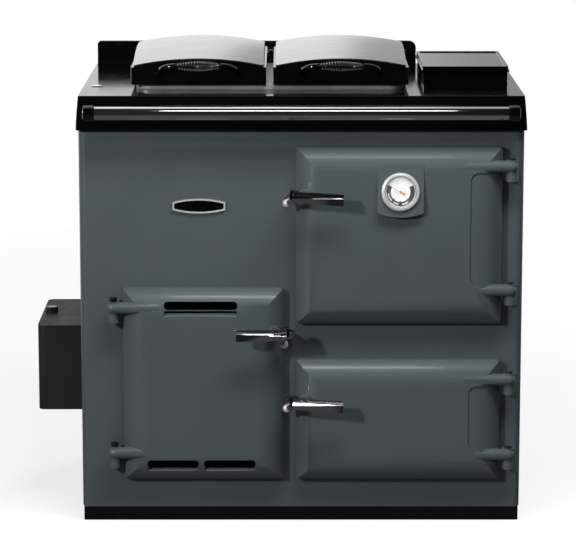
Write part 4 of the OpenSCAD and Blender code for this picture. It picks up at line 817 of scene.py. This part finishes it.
def needle():
    """A thin pointer with a coloured tip and a fishtail, on a small hub."""
    arm = needle_bar("needle_arm", ARM_BACK, ARM_END, ARM_HALF)
    tip = needle_bar("needle_tip", ARM_END, TIP_END, TIP_HALF)
    edit(tip)
    for way in (-1, 1):
        nudge(tip, lambda p: p.x > (TIP_END - 1) * MM and p.y * way > 0, (0, -way * TIP_TAPER, 0))
    close(tip)
    tail = needle_bar("needle_tail", TAIL_END, TAIL_START, TAIL_HALF)
    edit(tail)
    slice_at(tail, (0, 0, 0), (0, 1, 0))
    middle, far_end = 0.1 * MM, (TAIL_END + 1) * MM
    for way in (-1, 1):
        nudge(tail, lambda p: p.x < far_end and p.y * way > middle, (0, way * TAIL_FLARE, 0))
    nudge(tail, lambda p: p.x < far_end and abs(p.y) < middle, (TAIL_FLARE, 0, 0))
    close(tail)
    hub = smooth(spun("needle_hub", HUB_OUTLINE, 32), 40)
    turn = Matrix.Rotation(math.radians(NEEDLE_TURN), 3, "Z")
    for piece in (arm, tip, tail, hub):
        placed(piece, (0, 0, NEEDLE_LIFT), turn)
        on_dial(piece)
    return join("needle_arm", [arm, hub]), join("needle_ends", [tip, tail])


needle_arm, needle_ends = needle()
fit(needle_arm, TAN, "needle_paint", "needle", "dial_needle")
fit(needle_ends, ORANGE, "needle_paint", "needle")

# Badge

BADGE_MIDDLE = (-211.5, 672.5)
BADGE_FRONT, BADGE_BACK, BADGE_FLOOR = -298.5, -294, -297
BADGE_HALF, BADGE_RISE, BADGE_BOW_R = 54.5, 15.2, 210
BADGE_RIM, BADGE_FIELD_INSET, BADGE_FIELD_THICK, BADGE_CORNER_R = 3.0, 3.6, 0.4, 3


def bowed_plate(name, inset, front, back):
    """A plate with two bowed long sides and short straight ends, inset all round by some millimetres."""
    x, z = BADGE_MIDDLE
    half, rise, radius = BADGE_HALF - inset, BADGE_RISE - inset, BADGE_BOW_R - inset
    plate = block(name, (x - half, front, z - rise), (x + half, back, z + rise))
    for way in (-1, 1):
        disc = rod("bow", (x, front - 1, z + way * (radius - rise)), (x, back + 1, z + way * (radius - rise)),
                   radius, 360)
        apply(plate, "BOOLEAN", operation="INTERSECT", object=disc, solver="EXACT")
        bpy.data.objects.remove(disc)
    edit(plate)
    tiny = 0.1 * MM
    pick_edges(plate, lambda a, b: all(abs(abs(p.x - x * MM) - half * MM) < tiny for p in (a, b))
               and abs(a.y - b.y) > tiny)
    bpy.ops.mesh.bevel(offset=BADGE_CORNER_R * MM, segments=5, affect="EDGES")
    return close(plate)


badge = bowed_plate("badge_plate", 0, BADGE_FRONT, BADGE_BACK)
cut(badge, bowed_plate("badge_pocket", BADGE_RIM, BADGE_FRONT - 1, BADGE_FLOOR))
ease(badge, 0.5, 2, 40)
smooth(badge)
fit(badge, TRIM_PAINTED_SHINE, "chrome", "cooker", "badge")
field = bowed_plate("badge_field", BADGE_FIELD_INSET, BADGE_FLOOR - BADGE_FIELD_THICK, BADGE_FLOOR)
smooth(field)
fit(field, BLACK, "black_enamel", "cooker")

# Wound lid grips

WIRE_THINNER = 0.7
for side in ("left", "right"):
    node_name = side + "_lid_coil"
    coil = from_frame(node_name, node_name + "_wire")
    apply(coil, "SUBSURF", levels=2, render_levels=2)
    apply(coil, "DISPLACE", strength=-WIRE_THINNER * MM, mid_level=0)
    take(coil)
    bpy.ops.object.shade_smooth()
    fit(coil, WIRE, "chrome", BODY_OF[node_name], node_name)
